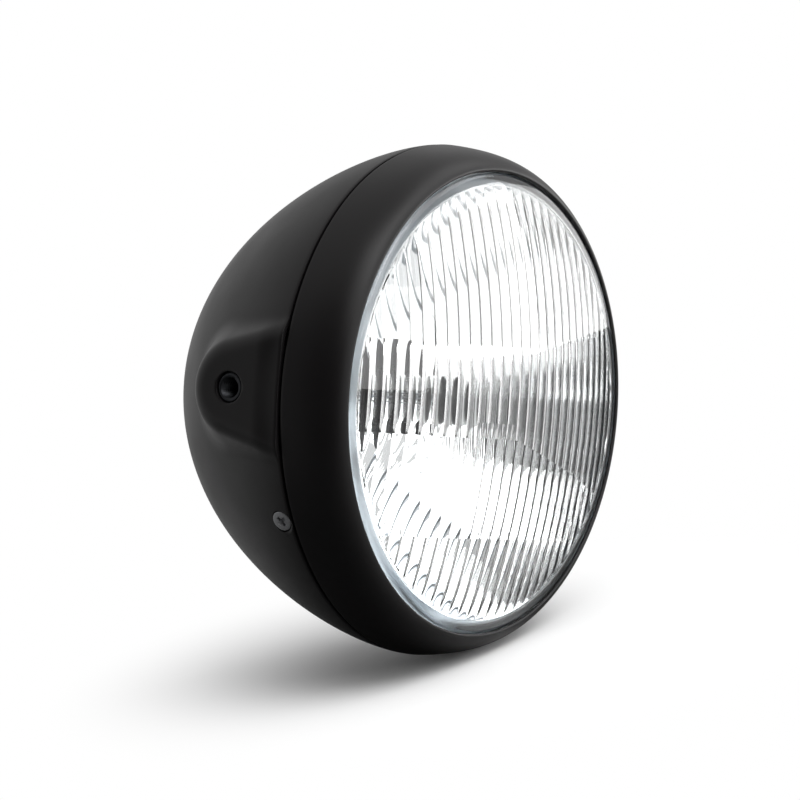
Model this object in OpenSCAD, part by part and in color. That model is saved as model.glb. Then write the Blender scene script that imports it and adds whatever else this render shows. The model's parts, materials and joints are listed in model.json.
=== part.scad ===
// Round motorcycle headlight, 7 inch class, with side bolts.
//
// The lamp looks along -Y, +Z is up and +X runs through the side bolts.
// Every place below is first given from the seam plane between bowl and rim,
// with y = 0 at the seam. The whole lamp is then shifted along Y, so that the
// origin lies on the lamp axis, midway between the glass and the rear grommet.
// Millimetres throughout.

/* [Bowl] */
// Outer radius of the bowl at the seam
bowl_r = 93.4; // [88:0.2:110]
// Depth of the bowl's curve, from the seam to its nose
bowl_len = 96; // [90:1:125]
// Sheet thickness of the bowl
bowl_wall = 2; // [1.2:0.1:2.6]
// Fullness of the bowl's flank
bowl_flank = 1.44; // [1.3:0.02:1.8]
// Roundness of the bowl's nose
bowl_nose = 2.16; // [1.9:0.02:2.4]
// Radius of the flat pressed into the nose
nose_flat_r = 17; // [16:0.5:20]
// Radius of the cable hole in the nose
cable_hole_r = 11; // [9:0.5:12]

/* [Side mounts] */
// Distance of the bolt axis behind the seam
bolt_setback = 22; // [20:0.5:30]
// How far the pad's face stands outside the bowl's radius
pad_proud = 1.1; // [0.5:0.1:4]
// Radius of the pad's flat face
pad_r = 12.6; // [11:0.2:16]
// Half width of the pad where it runs into the seam
pad_front_w = 22; // [20:1:30]
// Half width of the pad's shoulders beside the bolt
pad_side_w = 25; // [22:0.5:27]
// Depth of the shoulders below the pad's face
pad_side_depth = 12.5; // [11:0.5:15]
// Radius of the pad's rear foot
pad_foot_r = 22; // [18:0.5:23]
// Depth of the rear foot below the pad's face
pad_foot_depth = 18.5; // [17:0.5:24]
// Outer diameter of the threaded bush
bush_d = 10.4; // [10:0.2:12]
// Thread core diameter of the bush, for a bolt of 8 mm
bush_core_d = 6.8; // [6.4:0.1:7.2]
// Length of the bush behind the pad's face
bush_len = 15; // [12:0.5:20]
// Diameter of the bush's flange inside the pad
bush_flange_d = 17; // [14:0.5:20]
// Thickness of the bush's flange
bush_flange_t = 2.5; // [2:0.1:4]
// Depth of the bush's mouth below the pad's face
bush_recess = 0.8; // [0.3:0.1:1.5]

/* [Rim] */
// Distance from the seam to the rim's front edge
rim_depth = 23.9; // [22:0.1:30]
// Width of the rim's front, from its opening to the bowl's radius
rim_width = 9.4; // [9:0.2:13]
// Sheet thickness of the rim
rim_wall = 1.4; // [1:0.1:1.6]
// Width of the groove between bowl and rim
seam_gap = 1; // [0.6:0.1:1.4]
// How far the rim's spigot reaches into the bowl
spigot_len = 9; // [8:0.2:10]

/* [Rim screws] */
// Angle of the screws below the horizontal
screw_angle = 30; // [20:1:45]
// Distance of the screws behind the seam
screw_setback = 5.8; // [5:0.1:6.2]
// Screw thread diameter
screw_d = 4; // [3.5:0.1:4.5]
// Screw head diameter
screw_head_d = 7.8; // [7:0.1:8.6]
// Diameter of the countersunk recess
screw_recess_d = 9; // [8.8:0.1:10]
// Length of the screw under the bowl's surface
screw_len = 11; // [9:0.5:14]
// Width of the captive square nut
nut_w = 7; // [6.5:0.1:8]
// Thickness of the nut
nut_t = 3.2; // [2.4:0.1:4]

/* [Lens] */
// Radius of the glass dome's outer sphere
lens_sphere_r = 240; // [200:5:320]
// Height of the glass above the rim's opening
lens_crown = 16.5; // [14:0.5:20]
// Glass thickness
lens_t = 4; // [3.5:0.1:5]
// Width of the smooth band round the flutes
lens_band = 6.2; // [6:0.2:14]
// Width of one flute
flute_pitch = 5.7; // [4:0.1:8]
// Height of the flutes above the middle band
flute_top = 0.45; // [0.2:0.05:0.8]
// Height of the flutes in the middle band
flute_mid = 0.85; // [0.3:0.05:1.1]
// Height of the flutes below the middle band
flute_low = 0.35; // [0.2:0.05:0.8]
// Height of the flutes at the foot of the glass
flute_foot = 0.6; // [0.2:0.05:0.9]
// Height of the half-width flutes in the small centre field
flute_field = 0.4; // [0.2:0.05:0.6]
// Upper edge of the middle band, above the lamp axis
band_top = 20.5; // [14:0.5:26]
// Lower edge of the middle band, below the lamp axis
band_low = 12.5; // [8:0.5:16]
// Rise of the upper edge on the right
band_rise = 8; // [0:1:15]
// Fall of the lower edge on the right
band_fall = 15; // [5:1:20]
// Height of the foot zone's edge below the lamp axis
foot_edge = 48.5; // [42:0.5:56]

/* [Reflector] */
// Focal length of the reflector, as a share of its mouth's radius
focal_share = 0.31; // [0.3:0.005:0.34]
// How far the reflector's mouth lies inside the rim's opening
mouth_inset = 3.5; // [3:0.5:6]
// Sheet thickness of the reflector
reflector_wall = 1; // [0.8:0.1:1.2]
// Radius of the bulb opening
neck_r = 20; // [19.5:0.1:21]
// Room between the bulb's lugs and the outside of the reflector's rear collar
collar_room = 9.5; // [9:0.5:12]

/* [Bulb] */
// Diameter of the bulb's glass
bulb_glass_d = 17; // [15:0.5:18]
// Length of the bulb ahead of its flange
bulb_reach = 44; // [42:0.5:46]
// Diameter across the bulb's three lugs
bulb_lug_d = 43; // [42:0.5:44]

/* [Rear grommet] */
// Radius of the cable bore
cable_bore_r = 7; // [5:0.5:8]
// Radius of the grommet's flanges
grommet_r = 15; // [14:0.5:15.5]
// Thickness of each flange
grommet_lip = 2.5; // [2:0.1:3]

/* [Hidden] */

// Fits
// Clearance between parts that only touch
seat_gap = 0.1;
// Clearance where one part slides over another
slide_gap = 0.3;
// Gap between the glass and the rim's lip
lens_gap = 0.35;
// Gap round the bush in the painted hole
bush_gap = 0.4;

// Facets of round things, in the mesh preview
round_fn = 144;
small_fn = 48;
hull_fn = 32;
// Overshoot of a cutting tool
eps = 0.5;
// Steps along the drawn curves
bowl_steps = 26;
rim_steps = 14;
shoulder_steps = 6;
mirror_steps = 22;

// Bowl
nose_y = bowl_y_at(nose_flat_r);
bowl_path = [for (i = [0 : bowl_steps]) bowl_point(i / bowl_steps)];
bowl_inner_path = inset(bowl_path, bowl_wall);
// The wall measured along the radius, where the flank leans
lean = 1.02;

// Side mounts
pad_face_x = bowl_r + pad_proud;
pad_edge_steps = 4;
bush_hole_d = bush_d + 2 * bush_gap;
bush_chamfer = 0.6;
bush_tail = 1;

// Rim screws, right and left
screw_angles = [-screw_angle, 180 + screw_angle];
screw_sunk = 0.35;
screw_chamfer = 0.4;
// Cross recess, as shares of the head's diameter and height
slot_share = 0.56;
slot_w_share = 0.14;
slot_depth_share = 0.8;

// Rim
rim_open_r = bowl_r - rim_width;
rim_rear_y = -seam_gap / 2;
rim_step = 0.1;
rim_flank_in = 0.8;
rim_flank_share = 0.42;
rim_shoulder_in = 2.5;
rim_shoulder_share = 0.9;
lip_round = 0.9;
rim_curve = [
    [bowl_r + rim_step, rim_rear_y],
    [bowl_r - rim_flank_in, -rim_depth * rim_flank_share],
    [bowl_r - rim_shoulder_in, -rim_depth * rim_shoulder_share],
    [rim_open_r + lip_round, -rim_depth]
];
rim_path = [for (i = [0 : rim_steps]) bezier(rim_curve, i / rim_steps)];
rim_inner_path = inset(rim_path, -rim_wall);
lip_y = -rim_depth + rim_wall;
step_y = rim_rear_y - rim_wall;
spigot_wall = 1.2;
catch_t = 1.2;
catch_foot = 10;
catch_tongue = 6;
catch_span = 14;
spigot_front_r = bowl_inner_r_at(-rim_rear_y) - slide_gap;
spigot_end_r = bowl_inner_r_at(spigot_len) - slide_gap;

// Gasket between rim and glass
gasket_d = 1.5;
gasket_inset = 0.2;
gasket_rise = 0.45;
gasket_r = rim_open_r + gasket_inset + gasket_d / 2;
gasket_y = lip_y + gasket_d / 2 + gasket_rise;

// Lens
flute_zone_r = rim_open_r - lens_band;
lens_neck_r = rim_open_r - lens_gap;
lens_front_y = lip_y - lens_crown;
lens_centre_y = lens_front_y + lens_sphere_r;
dome_ledge = 0.2;
lens_dome_r = flute_zone_r + dome_ledge;
lens_step_y = gasket_y + gasket_d / 2 + seat_gap / 2;
lens_flange_w = 2.6;
lens_flange_r = rim_open_r + lens_flange_w;
lens_skirt = 3.3;
lens_foot_w = 4;
lens_chamfer = 0.4;
lens_cove = 0.9;
shoulder_run = 2.8;
shoulder_drop = 1.7;
lens_rear_y = lens_step_y + lens_skirt;
lens_inner_sphere_r = lens_sphere_r - lens_t;
lens_wall_r = lens_flange_r - lens_foot_w;
flute_count = ceil(flute_zone_r / flute_pitch);
flute_steps = 4;
flute_ring_r = flute_zone_r + dome_ledge / 2;
flute_relief = 1.2;
ring_snap = 0.4;
band_kink_x = 15;
field_flutes = 4;
field_h = 5.5;

// Flute zones from the foot upwards: height of the flutes, rows of facets, and
// whether the zone holds the field of half-width flutes
flute_zones = [
    [flute_foot, 2, false],
    [flute_low, 3, false],
    [flute_mid, 1, true],
    [flute_mid, 2, false],
    [flute_top, 4, false]
];
flute_columns = concat(
    [for (k = [-flute_count : flute_count - 1], j = [0 : flute_steps - 1]) flute_column(k, j)],
    [flute_column(flute_count - 1, flute_steps)]
);
flute_points = [for (column = flute_columns) column_points(column)];
flute_row_count = len(flute_points[0]);

// Bond between glass and reflector
bond_t = 0.6;
bond_inset = 0.2;

// Reflector
mouth_r = rim_open_r - mouth_inset;
focal_len = focal_share * mouth_r;
flange_y = lens_rear_y + bond_t;
flange_upstand = 0.9;
flange_upstand_h = 2;
flange_r = lens_flange_r + bond_inset + flange_upstand;
mirror_vertex_y = flange_y + mouth_r * mouth_r / (4 * focal_len);
mirror_path = [for (i = [0 : mirror_steps]) mirror_point(mouth_r + (neck_r - mouth_r) * i / mirror_steps)];
mirror_back_path = inset(mirror_path, -reflector_wall);
neck_y = mirror_path[mirror_steps][1];
collar_r = bulb_lug_d / 2 + collar_room;
collar_wall = 1.2;
// Depth by which the collar is set into the reflector's back, as a share of its sheet
collar_set = 0.3;
collar_front_y = mirror_point(collar_r - collar_wall)[1] + reflector_wall * collar_set;
seat_back = 3.3;
seat_y = neck_y + seat_back;
seat_t = 1.2;
seat_lap = 1.3;
collar_rise = 3;
collar_end_y = seat_y + collar_rise;

// Clips that hold the light unit in the rim
clip_t = 0.8;
clip_w = 12;
clip_count = 5;
clip_first_angle = 90;
// Distances of the clip's bends inside its outer end, in thicknesses of its sheet
clip_bends = [2, 5.5, 8, 5];
// Point of the rim's inner path that the clip's outer end lies under
clip_station = 3;

// Bulb
bulb_flange_t = 1.2;
bulb_lug_proud = 2.7;
bulb_disc_r = bulb_lug_d / 2 - bulb_lug_proud;
bulb_lug_w = 7;
bulb_sleeve_wall = 1.3;
bulb_sleeve_len = 9.5;
bulb_sleeve_gap = 0.2;
bulb_glass_r = bulb_glass_d / 2;
bulb_glass_t = 0.8;
bulb_dome_share = 0.8;
bulb_dome_steps = 6;
bulb_cup_r = 11;
bulb_cup_len = 3.5;
bulb_cup_wall = 1.4;
bulb_web = 1.7;
insulator_len = 6;
insulator_r = bulb_cup_r - 0.2;
lead_room = 1;
insulator_y = seat_y + bulb_flange_t + bulb_cup_len + insulator_len;
blade_w = 7.8;
blade_t = 0.8;
blade_len = 9;
blade_x = 6.5;
blade_z = 6.7;
blade_drop = 1;
boot_t = 1.8;
boot_grip = 7.5;
boot_roof = 0.9;
boot_lip = 0.8;
boot_corner = 0.8;
boot_slope = 6;
boot_dish = 2.4;
pinch_y = seat_y - bulb_sleeve_len - lead_room;
focus_y = mirror_vertex_y - focal_len;
filament_r = 0.9;
filament_len = 5;
lead_r = 0.35;
lead_spread = 4.5;
// Radius of the cross lead, as a share of the others'
cross_share = 0.9;
dip_y = focus_y - 2 * filament_len;
dip_lift = 1.6;
shield_r = 3.6;
shield_t = 0.4;
shield_over = 1.4;

// Wire clip on the bulb
wire_r = 0.6;
wire_leg_z = 13.5;
wire_y = seat_y + bulb_flange_t + wire_r + seat_gap / 2;
wire_room = 5.8;
hook_room = 2;
hinge_x = collar_wall + wire_room - collar_r;
hinge_w = 11;
hinge_t = 3;
catch_x = -hinge_x - hook_room;
hook_w = 8;
hook_t = 1;
hook_open = 0.9;
post_t = 1.5;
stub_end = 2;

// Rear grommet
grommet_taper = 1.4;
grommet_round = 0.8;

// Whole lamp
grommet_end_y = nose_y + grommet_lip;
centre_y = (lens_front_y + grommet_end_y) / 2;

// Bowl radius at a distance behind the seam, and the distance for a radius
function bowl_r_at(y) = bowl_r * pow(1 - pow(y / bowl_len, bowl_flank), 1 / bowl_nose);
function bowl_y_at(r) = bowl_len * pow(1 - pow(r / bowl_r, bowl_nose), 1 / bowl_flank);
function bowl_inner_r_at(y) = bowl_r_at(y) - bowl_wall * lean;

// Point on the bowl's outline, with t from 0 at the seam to 1 at the nose flat
function bowl_point(t) =
    let (y = seam_gap / 2 + (nose_y - seam_gap / 2) * sin(90 * t))
    [bowl_r_at(y), y];

// Point on the reflector's parabola
function mirror_point(r) = [r, mirror_vertex_y - r * r / (4 * focal_len)];

// Point on a cubic curve with four control points
function bezier(p, t) =
    pow(1 - t, 3) * p[0] + 3 * t * pow(1 - t, 2) * p[1]
    + 3 * t * t * (1 - t) * p[2] + pow(t, 3) * p[3];

// Unit direction of a path at point i
function heading(path, i) =
    let (a = path[max(i - 1, 0)], b = path[min(i + 1, len(path) - 1)])
    (b - a) / norm(b - a);

// Path moved by d to the left of its heading
function inset(path, d) = [
    for (i = [0 : len(path) - 1])
        let (h = heading(path, i))
        path[i] + d * [-h[1], h[0]]
];

// Path reversed
function reversed(path) = [for (i = [len(path) - 1 : -1 : 0]) path[i]];

// Closed outline of a bent strip of sheet, from its centre line
function strip(path, t) = concat(
    [for (i = [0 : len(path) - 1]) strip_corner(path, i, t / 2)],
    [for (i = [len(path) - 1 : -1 : 0]) strip_corner(path, i, -t / 2)]
);

// Mitred corner of a strip
function strip_corner(path, i, d) =
    let (n = len(path) - 1)
    let (a = i == 0 ? path[1] - path[0] : path[i] - path[i - 1])
    let (b = i == n ? path[n] - path[n - 1] : path[i + 1] - path[i])
    let (na = [-a[1], a[0]] / norm(a), nb = [-b[1], b[0]] / norm(b))
    path[i] + d * (na + nb) / (1 + na * nb);

// Sag of a sphere of radius s at radius r
function sag(s, r) = s - sqrt(s * s - r * r);

// One column of points across the glass: its place along X, its flute and how
// far it is through that flute. Columns are evenly spaced round the ring.
function flute_column(k, j) =
    let (
        a = acos(max(-1, k * flute_pitch / flute_ring_r)),
        b = acos(min(1, (k + 1) * flute_pitch / flute_ring_r)),
        x = flute_ring_r * cos(a + (b - a) * j / flute_steps)
    )
    j == 0 && k > -flute_count ? [k * flute_pitch, k, 0] : [x, k, x / flute_pitch - k];

// Lower edges of the zones at a place x across the lamp, and the top's end.
// An edge near the ring is put on the ring.
function zone_edges(x) =
    let (end = sqrt(max(0, flute_ring_r * flute_ring_r - x * x)))
    [for (z = [
        -flute_ring_r,
        -foot_edge,
        -band_low - max(0, x) * tan(band_fall),
        field_h - band_low - max(0, x) * tan(band_fall),
        band_top + max(0, x - band_kink_x) * tan(band_rise),
        flute_ring_r
    ]) abs(z) > end - ring_snap ? sign(z) * end : z];

// Zone that is found where zone m has shrunk to nothing
function live_zone(edges, m) =
    edges[len(edges) - 1] <= 0 ? 0
    : edges[m + 1] > edges[m] ? m
    : live_zone(edges, edges[m] < 0 ? m + 1 : m - 1);

// Height of a flute above the glass
function flute_height(k, u, zone) =
    let (halved = zone[2] && k >= -field_flutes && k < 0)
    let (v = halved ? 2 * u - floor(2 * u) : u)
    (halved ? flute_field : zone[0]) * (1 - pow(2 * v - 1, 2));

// Points of one column, from the foot to the top, with two at each zone edge
function column_points(column) =
    let (x = column[0], edges = zone_edges(x))
    [for (m = [0 : len(flute_zones) - 1], j = [0 : flute_zones[m][1]])
        let (
            z = edges[m] + (edges[m + 1] - edges[m]) * j / flute_zones[m][1],
            rise = flute_height(column[1], column[2], flute_zones[live_zone(edges, m)])
        )
        [x, lens_centre_y - sqrt(pow(lens_inner_sphere_r, 2) - x * x - z * z) + rise, z]];

// Row numbers of a column, with equal points given the first one's number
function first_rows(points) = [
    for (j = 0, first = 0; j < len(points); j = j + 1, first = points[j] == points[j - 1] ? first : j) first
];

// Inner radius of the rim's spigot at a distance behind the seam
function spigot_inner_r_at(y) =
    spigot_front_r - spigot_wall
    + (spigot_end_r - spigot_front_r) * (y - rim_rear_y) / (spigot_len - rim_rear_y);

// Solid turned about the lamp axis, from points of radius and y
module turned(points, fn = round_fn) {
    rotate([-90, 0, 0])
        rotate_extrude($fn = fn)
            polygon(points);
}

// Part of a turned solid, centred on an angle from +X towards +Z
module turned_sector(points, middle, span) {
    rotate([0, -middle, 0])
        rotate([-90, 0, 0])
            rotate([0, 0, -span / 2])
                rotate_extrude(angle = span, $fn = round_fn)
                    polygon(points);
}

// Rod along Y from y1 to y2
module rod(r, y1, y2, fn = small_fn) {
    translate([0, y1, 0])
        rotate([-90, 0, 0])
            cylinder(r = r, h = y2 - y1, $fn = fn);
}

// Places a child, drawn along +Z from its own origin, on a radial line
module on_radius(angle, y) {
    rotate([0, -angle, 0])
        translate([0, y, 0])
            rotate([0, 90, 0])
                children();
}

// Copies a child to the left or the right side bolt, drawn along +Z outwards
module at_bolt(side) {
    on_radius(side > 0 ? 0 : 180, bolt_setback)
        children();
}

// Seam plane to world
module placed() {
    translate([0, -centre_y, 0])
        children();
}

// Body of one side pad, grown or shrunk by d
module pad_body(d) {
    hull() {
        translate([0, 0, pad_face_x - eps + d])
            cylinder(r = pad_r + d, h = eps, $fn = hull_fn);
        translate([0, 0, pad_face_x - pad_foot_depth + d])
            cylinder(r = pad_foot_r + d, h = eps, $fn = hull_fn);
        for (side = [-1, 1])
            translate([side * (pad_side_w - pad_r / 2), 0, pad_face_x - pad_side_depth + d])
                cylinder(r = pad_r / 2 + d, h = eps, $fn = hull_fn);
        translate([0, -bolt_setback, 0])
            rotate([90, 0, 0])
                pad_front(d);
    }
}

// Slice of the bowl's front edge that the pad fades into
module pad_front(d) {
    span = asin(pad_front_w / bowl_r);
    top_r = bowl_r - seat_gap + d;
    foot_r = bowl_r - pad_foot_depth + d;
    linear_extrude(eps)
        polygon(concat(
            [for (k = [-pad_edge_steps : pad_edge_steps])
                top_r * [sin(k * span / pad_edge_steps), cos(k * span / pad_edge_steps)]],
            [for (k = [1, -1]) foot_r * [sin(k * span), cos(k * span)]]
        ));
}

// One side pad, cut off at a plane near the bowl's front edge
module shell_pad(side, d, front_y) {
    intersection() {
        at_bolt(side)
            pad_body(d);
        rod(bowl_r * 2, front_y, bowl_len);
    }
}

// Countersunk hole for a rim screw
module screw_hole(angle) {
    surface_r = bowl_r_at(screw_setback);
    sink = (screw_recess_d - screw_d) / 2;
    on_radius(angle, screw_setback) {
        translate([0, 0, surface_r - bowl_wall * 2])
            cylinder(d = screw_d + slide_gap, h = bowl_wall * 4, $fn = small_fn);
        translate([0, 0, surface_r - sink])
            cylinder(d1 = screw_d, d2 = screw_recess_d + 2 * eps, h = sink + eps, $fn = small_fn);
    }
}

// Pressed bowl with its two side pads
module shell() {
    color("#262728")
        placed()
            difference() {
                union() {
                    turned(concat([[0, seam_gap / 2]], bowl_path, [[0, nose_y]]));
                    for (side = [-1, 1])
                        shell_pad(side, 0, seam_gap / 2);
                }
                turned(concat([[0, -eps], [bowl_inner_path[0][0], -eps]], bowl_inner_path,
                    [[0, nose_y - bowl_wall]]));
                for (side = [-1, 1])
                    shell_pad(side, -bowl_wall, -eps);
                rod(cable_hole_r, nose_y - bowl_wall - eps, nose_y + eps);
                for (side = [-1, 1])
                    at_bolt(side)
                        cylinder(d = bush_hole_d, h = pad_face_x + eps, $fn = small_fn);
                for (angle = screw_angles)
                    screw_hole(angle);
            }
}

// Rim with its rolled lip and the spigot that enters the bowl
module rim() {
    outline = concat(
        rim_path,
        [
            [rim_open_r + lip_round * (1 - sin(45)), -rim_depth + lip_round * (1 - sin(45))],
            [rim_open_r, -rim_depth + lip_round],
            [rim_open_r, lip_y]
        ],
        reversed([for (i = [1 : rim_steps]) rim_inner_path[i]]),
        [
            [rim_inner_path[0][0], step_y],
            [spigot_front_r - spigot_wall, step_y],
            [spigot_end_r - spigot_wall, spigot_len],
            [spigot_end_r, spigot_len],
            [spigot_front_r, rim_rear_y]
        ]
    );
    color("#1f2021")
        placed()
            difference() {
                turned(outline);
                for (angle = screw_angles)
                    on_radius(angle, screw_setback)
                        translate([0, 0, spigot_end_r - spigot_wall * 3])
                            cylinder(d = screw_d + slide_gap, h = spigot_wall * 6, $fn = small_fn);
            }
}

// Void behind the flutes: their surface in front, a flat face behind
module flute_void() {
    n = flute_row_count;
    last = len(flute_columns) - 1;
    base = (last + 1) * n;
    back_y = lens_rear_y;
    rows = [for (points = flute_points) first_rows(points)];
    points = concat(
        [for (column = flute_points, p = column) p],
        [for (column = flute_points, p = [column[0], column[n - 1]]) [p[0], back_y, p[2]]]
    );
    surface = [
        for (i = [0 : last - 1], j = [0 : n - 2])
            let (
                a = i * n + rows[i][j],
                b = i * n + rows[i][j + 1],
                c = (i + 1) * n + rows[i + 1][j + 1],
                d = (i + 1) * n + rows[i + 1][j]
            )
            for (face = [[a, b, c], [a, c, d]])
                if (face[0] != face[1] && face[1] != face[2] && face[0] != face[2]) face
    ];
    function foot(i) = base + 2 * i;
    function head(i) = i == 0 || i == last ? foot(i) : foot(i) + 1;
    function top(i) = i * n + rows[i][n - 1];
    foot_wall = [for (i = [0 : last - 1]) [foot(i), i * n, (i + 1) * n, foot(i + 1)]];
    head_wall = [for (i = [0 : last - 1]) [top(i), head(i), head(i + 1), top(i + 1)]];
    back = concat([for (i = [0 : last]) foot(i)], [for (i = [last - 1 : -1 : 1]) head(i)]);
    polyhedron(points, concat(surface, foot_wall, head_wall, [back]));
}

// Domed glass with vertical flutes in zones on its inner face
module lens() {
    dome_y = lens_front_y + sag(lens_sphere_r, lens_dome_r);
    slope = lens_dome_r / (lens_sphere_r - sag(lens_sphere_r, lens_dome_r));
    inner_y = lens_front_y + lens_t;
    crest_r = lens_inner_sphere_r - flute_relief;
    shoulder = [
        [lens_dome_r, dome_y],
        [lens_dome_r + shoulder_run, dome_y + shoulder_run * slope],
        [lens_neck_r, lip_y - shoulder_drop],
        [lens_neck_r, lip_y + lens_chamfer]
    ];
    band_y = inner_y + sag(lens_inner_sphere_r, flute_zone_r) - dome_ledge;
    outline = concat(
        [for (i = [0 : mirror_steps - 1])
            let (r = lens_dome_r * i / mirror_steps)
            [r, lens_front_y + sag(lens_sphere_r, r)]],
        [for (i = [0 : shoulder_steps]) bezier(shoulder, i / shoulder_steps)],
        [
            [lens_neck_r, lens_step_y],
            [lens_flange_r - lens_chamfer, lens_step_y],
            [lens_flange_r, lens_step_y + lens_chamfer],
            [lens_flange_r, lens_rear_y],
            [lens_wall_r, lens_rear_y],
            [lens_wall_r - lens_cove, lens_rear_y - 2 * lens_cove],
            [lens_dome_r + 2 * lens_cove, band_y + lens_cove],
            [lens_dome_r + lens_cove / 2, band_y],
            [flute_zone_r, band_y]
        ],
        [for (i = [mirror_steps : -1 : 0])
            let (r = flute_zone_r * i / mirror_steps)
            [r, inner_y + flute_relief + sag(crest_r, r)]]
    );
    color("#dfe6ea")
        placed()
            difference() {
                turned(outline);
                flute_void();
            }
}

// Bead that bonds the glass to the reflector
module lens_bond() {
    color("#c9ced0")
        placed()
            turned([
                [lens_wall_r + bond_inset, lens_rear_y],
                [lens_flange_r - bond_inset, lens_rear_y],
                [lens_flange_r - bond_inset, flange_y],
                [lens_wall_r + bond_inset, flange_y]
            ]);
}

// Rubber cord between the rim's lip and the glass
module rim_gasket() {
    color("#141414")
        placed()
            rotate([-90, 0, 0])
                rotate_extrude($fn = round_fn)
                    translate([gasket_r, gasket_y])
                        circle(d = gasket_d, $fn = small_fn / 2);
}

// Pressed parabolic reflector with its flange and rear collar
module reflector() {
    outline = concat(
        mirror_path,
        reversed([for (i = [1 : mirror_steps]) mirror_back_path[i]]),
        [
            [mirror_back_path[0][0] + reflector_wall / 2, flange_y + reflector_wall],
            [flange_r, flange_y + reflector_wall],
            [flange_r, flange_y - flange_upstand_h],
            [flange_r - flange_upstand, flange_y - flange_upstand_h],
            [flange_r - flange_upstand, flange_y]
        ]
    );
    color("#d9dadb")
        placed()
            union() {
                turned(outline);
                turned([
                    [collar_r - collar_wall, collar_front_y],
                    [collar_r, collar_front_y],
                    [collar_r, collar_end_y],
                    [collar_r - collar_wall, collar_end_y]
                ]);
            }
}

// Spring clip that presses the light unit's flange away from the rim's step
module unit_clip(number) {
    out_r = rim_inner_path[clip_station][0] - clip_t - slide_gap / 2;
    top_y = step_y - clip_t / 2 - seat_gap / 2;
    foot_y = flange_y + reflector_wall + clip_t / 2 + seat_gap / 2;
    rise = top_y - foot_y;
    line = [
        [out_r, top_y - rise / 4],
        [out_r, top_y],
        [out_r - clip_bends[0] * clip_t, top_y],
        [out_r - clip_bends[1] * clip_t, (top_y + foot_y) / 2],
        [out_r - clip_bends[2] * clip_t, foot_y],
        [out_r - clip_bends[3] * clip_t, foot_y]
    ];
    color("#9a9c9e")
        placed()
            rotate([0, -(clip_first_angle + number * 360 / clip_count), 0])
                translate([0, 0, -clip_w / 2])
                    linear_extrude(clip_w)
                        polygon(strip(line, clip_t));
}

module unit_clip_1() unit_clip(0);
module unit_clip_2() unit_clip(1);
module unit_clip_3() unit_clip(2);
module unit_clip_4() unit_clip(3);
module unit_clip_5() unit_clip(4);

// Threaded steel bush in a side pad
module bush(side) {
    under_y = pad_face_x - bowl_wall - seat_gap;
    mouth_y = pad_face_x - bush_recess;
    end_y = pad_face_x - bush_len;
    color("#2f3133")
        placed()
            at_bolt(side)
                rotate_extrude($fn = small_fn)
                    polygon([
                        [bush_core_d / 2, end_y],
                        [bush_d / 2 + bush_tail, end_y],
                        [bush_d / 2 + bush_tail, under_y - bush_flange_t],
                        [bush_flange_d / 2, under_y - bush_flange_t],
                        [bush_flange_d / 2, under_y],
                        [bush_d / 2, under_y],
                        [bush_d / 2, mouth_y],
                        [bush_core_d / 2 + bush_chamfer, mouth_y],
                        [bush_core_d / 2, mouth_y - bush_chamfer]
                    ]);
}

module left_bush() bush(-1);
module right_bush() bush(1);

// Countersunk cross-head screw that holds the rim in the bowl
module rim_screw(angle) {
    surface_r = bowl_r_at(screw_setback);
    top_r = surface_r - screw_sunk;
    tip_r = surface_r - screw_len;
    head_h = (screw_head_d - screw_d) / 2;
    slot_l = screw_head_d * slot_share;
    slot_w = screw_head_d * slot_w_share;
    slot_depth = head_h * slot_depth_share;
    color("#3b3d40")
        placed()
            on_radius(angle, screw_setback)
                difference() {
                    rotate_extrude($fn = small_fn)
                        polygon([
                            [0, tip_r],
                            [screw_d / 2 - screw_chamfer, tip_r],
                            [screw_d / 2, tip_r + screw_chamfer],
                            [screw_d / 2, top_r - head_h],
                            [screw_head_d / 2, top_r],
                            [0, top_r]
                        ]);
                    for (turn = [45, 135])
                        rotate([0, 0, turn])
                            translate([-slot_l / 2, -slot_w / 2, top_r - slot_depth])
                                cube([slot_l, slot_w, slot_depth + eps]);
                }
}

module left_rim_screw() rim_screw(screw_angles[1]);
module right_rim_screw() rim_screw(screw_angles[0]);

// Square nut held behind the spigot
module rim_nut(angle) {
    top_r = spigot_inner_r_at(screw_setback + nut_w / 2) - seat_gap;
    color("#8d9093")
        placed()
            on_radius(angle, screw_setback)
                difference() {
                    translate([-nut_w / 2, -nut_w / 2, top_r - nut_t])
                        cube([nut_w, nut_w, nut_t]);
                    translate([0, 0, top_r - nut_t - eps])
                        cylinder(d = screw_d + seat_gap, h = nut_t + 2 * eps, $fn = small_fn);
                }
}

module left_rim_nut() rim_nut(screw_angles[1]);
module right_rim_nut() rim_nut(screw_angles[0]);

// Pressed catch at the top of the bowl, whose tongue locates the spigot
module rim_catch() {
    t = catch_t;
    back_y = spigot_len + slide_gap;
    foot_end_y = back_y + catch_foot;
    tongue_r = spigot_inner_r_at(spigot_len) - seat_gap;
    color("#55585b")
        placed()
            turned_sector([
                [tongue_r - t, back_y - catch_tongue],
                [tongue_r, back_y - catch_tongue],
                [tongue_r, back_y],
                [bowl_inner_r_at(back_y) - slide_gap, back_y],
                [bowl_inner_r_at(foot_end_y) - slide_gap, foot_end_y],
                [bowl_inner_r_at(foot_end_y) - slide_gap - t, foot_end_y],
                [bowl_inner_r_at(back_y + t) - slide_gap - t, back_y + t],
                [tongue_r - t, back_y + t]
            ], 90, catch_span);
}

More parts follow.
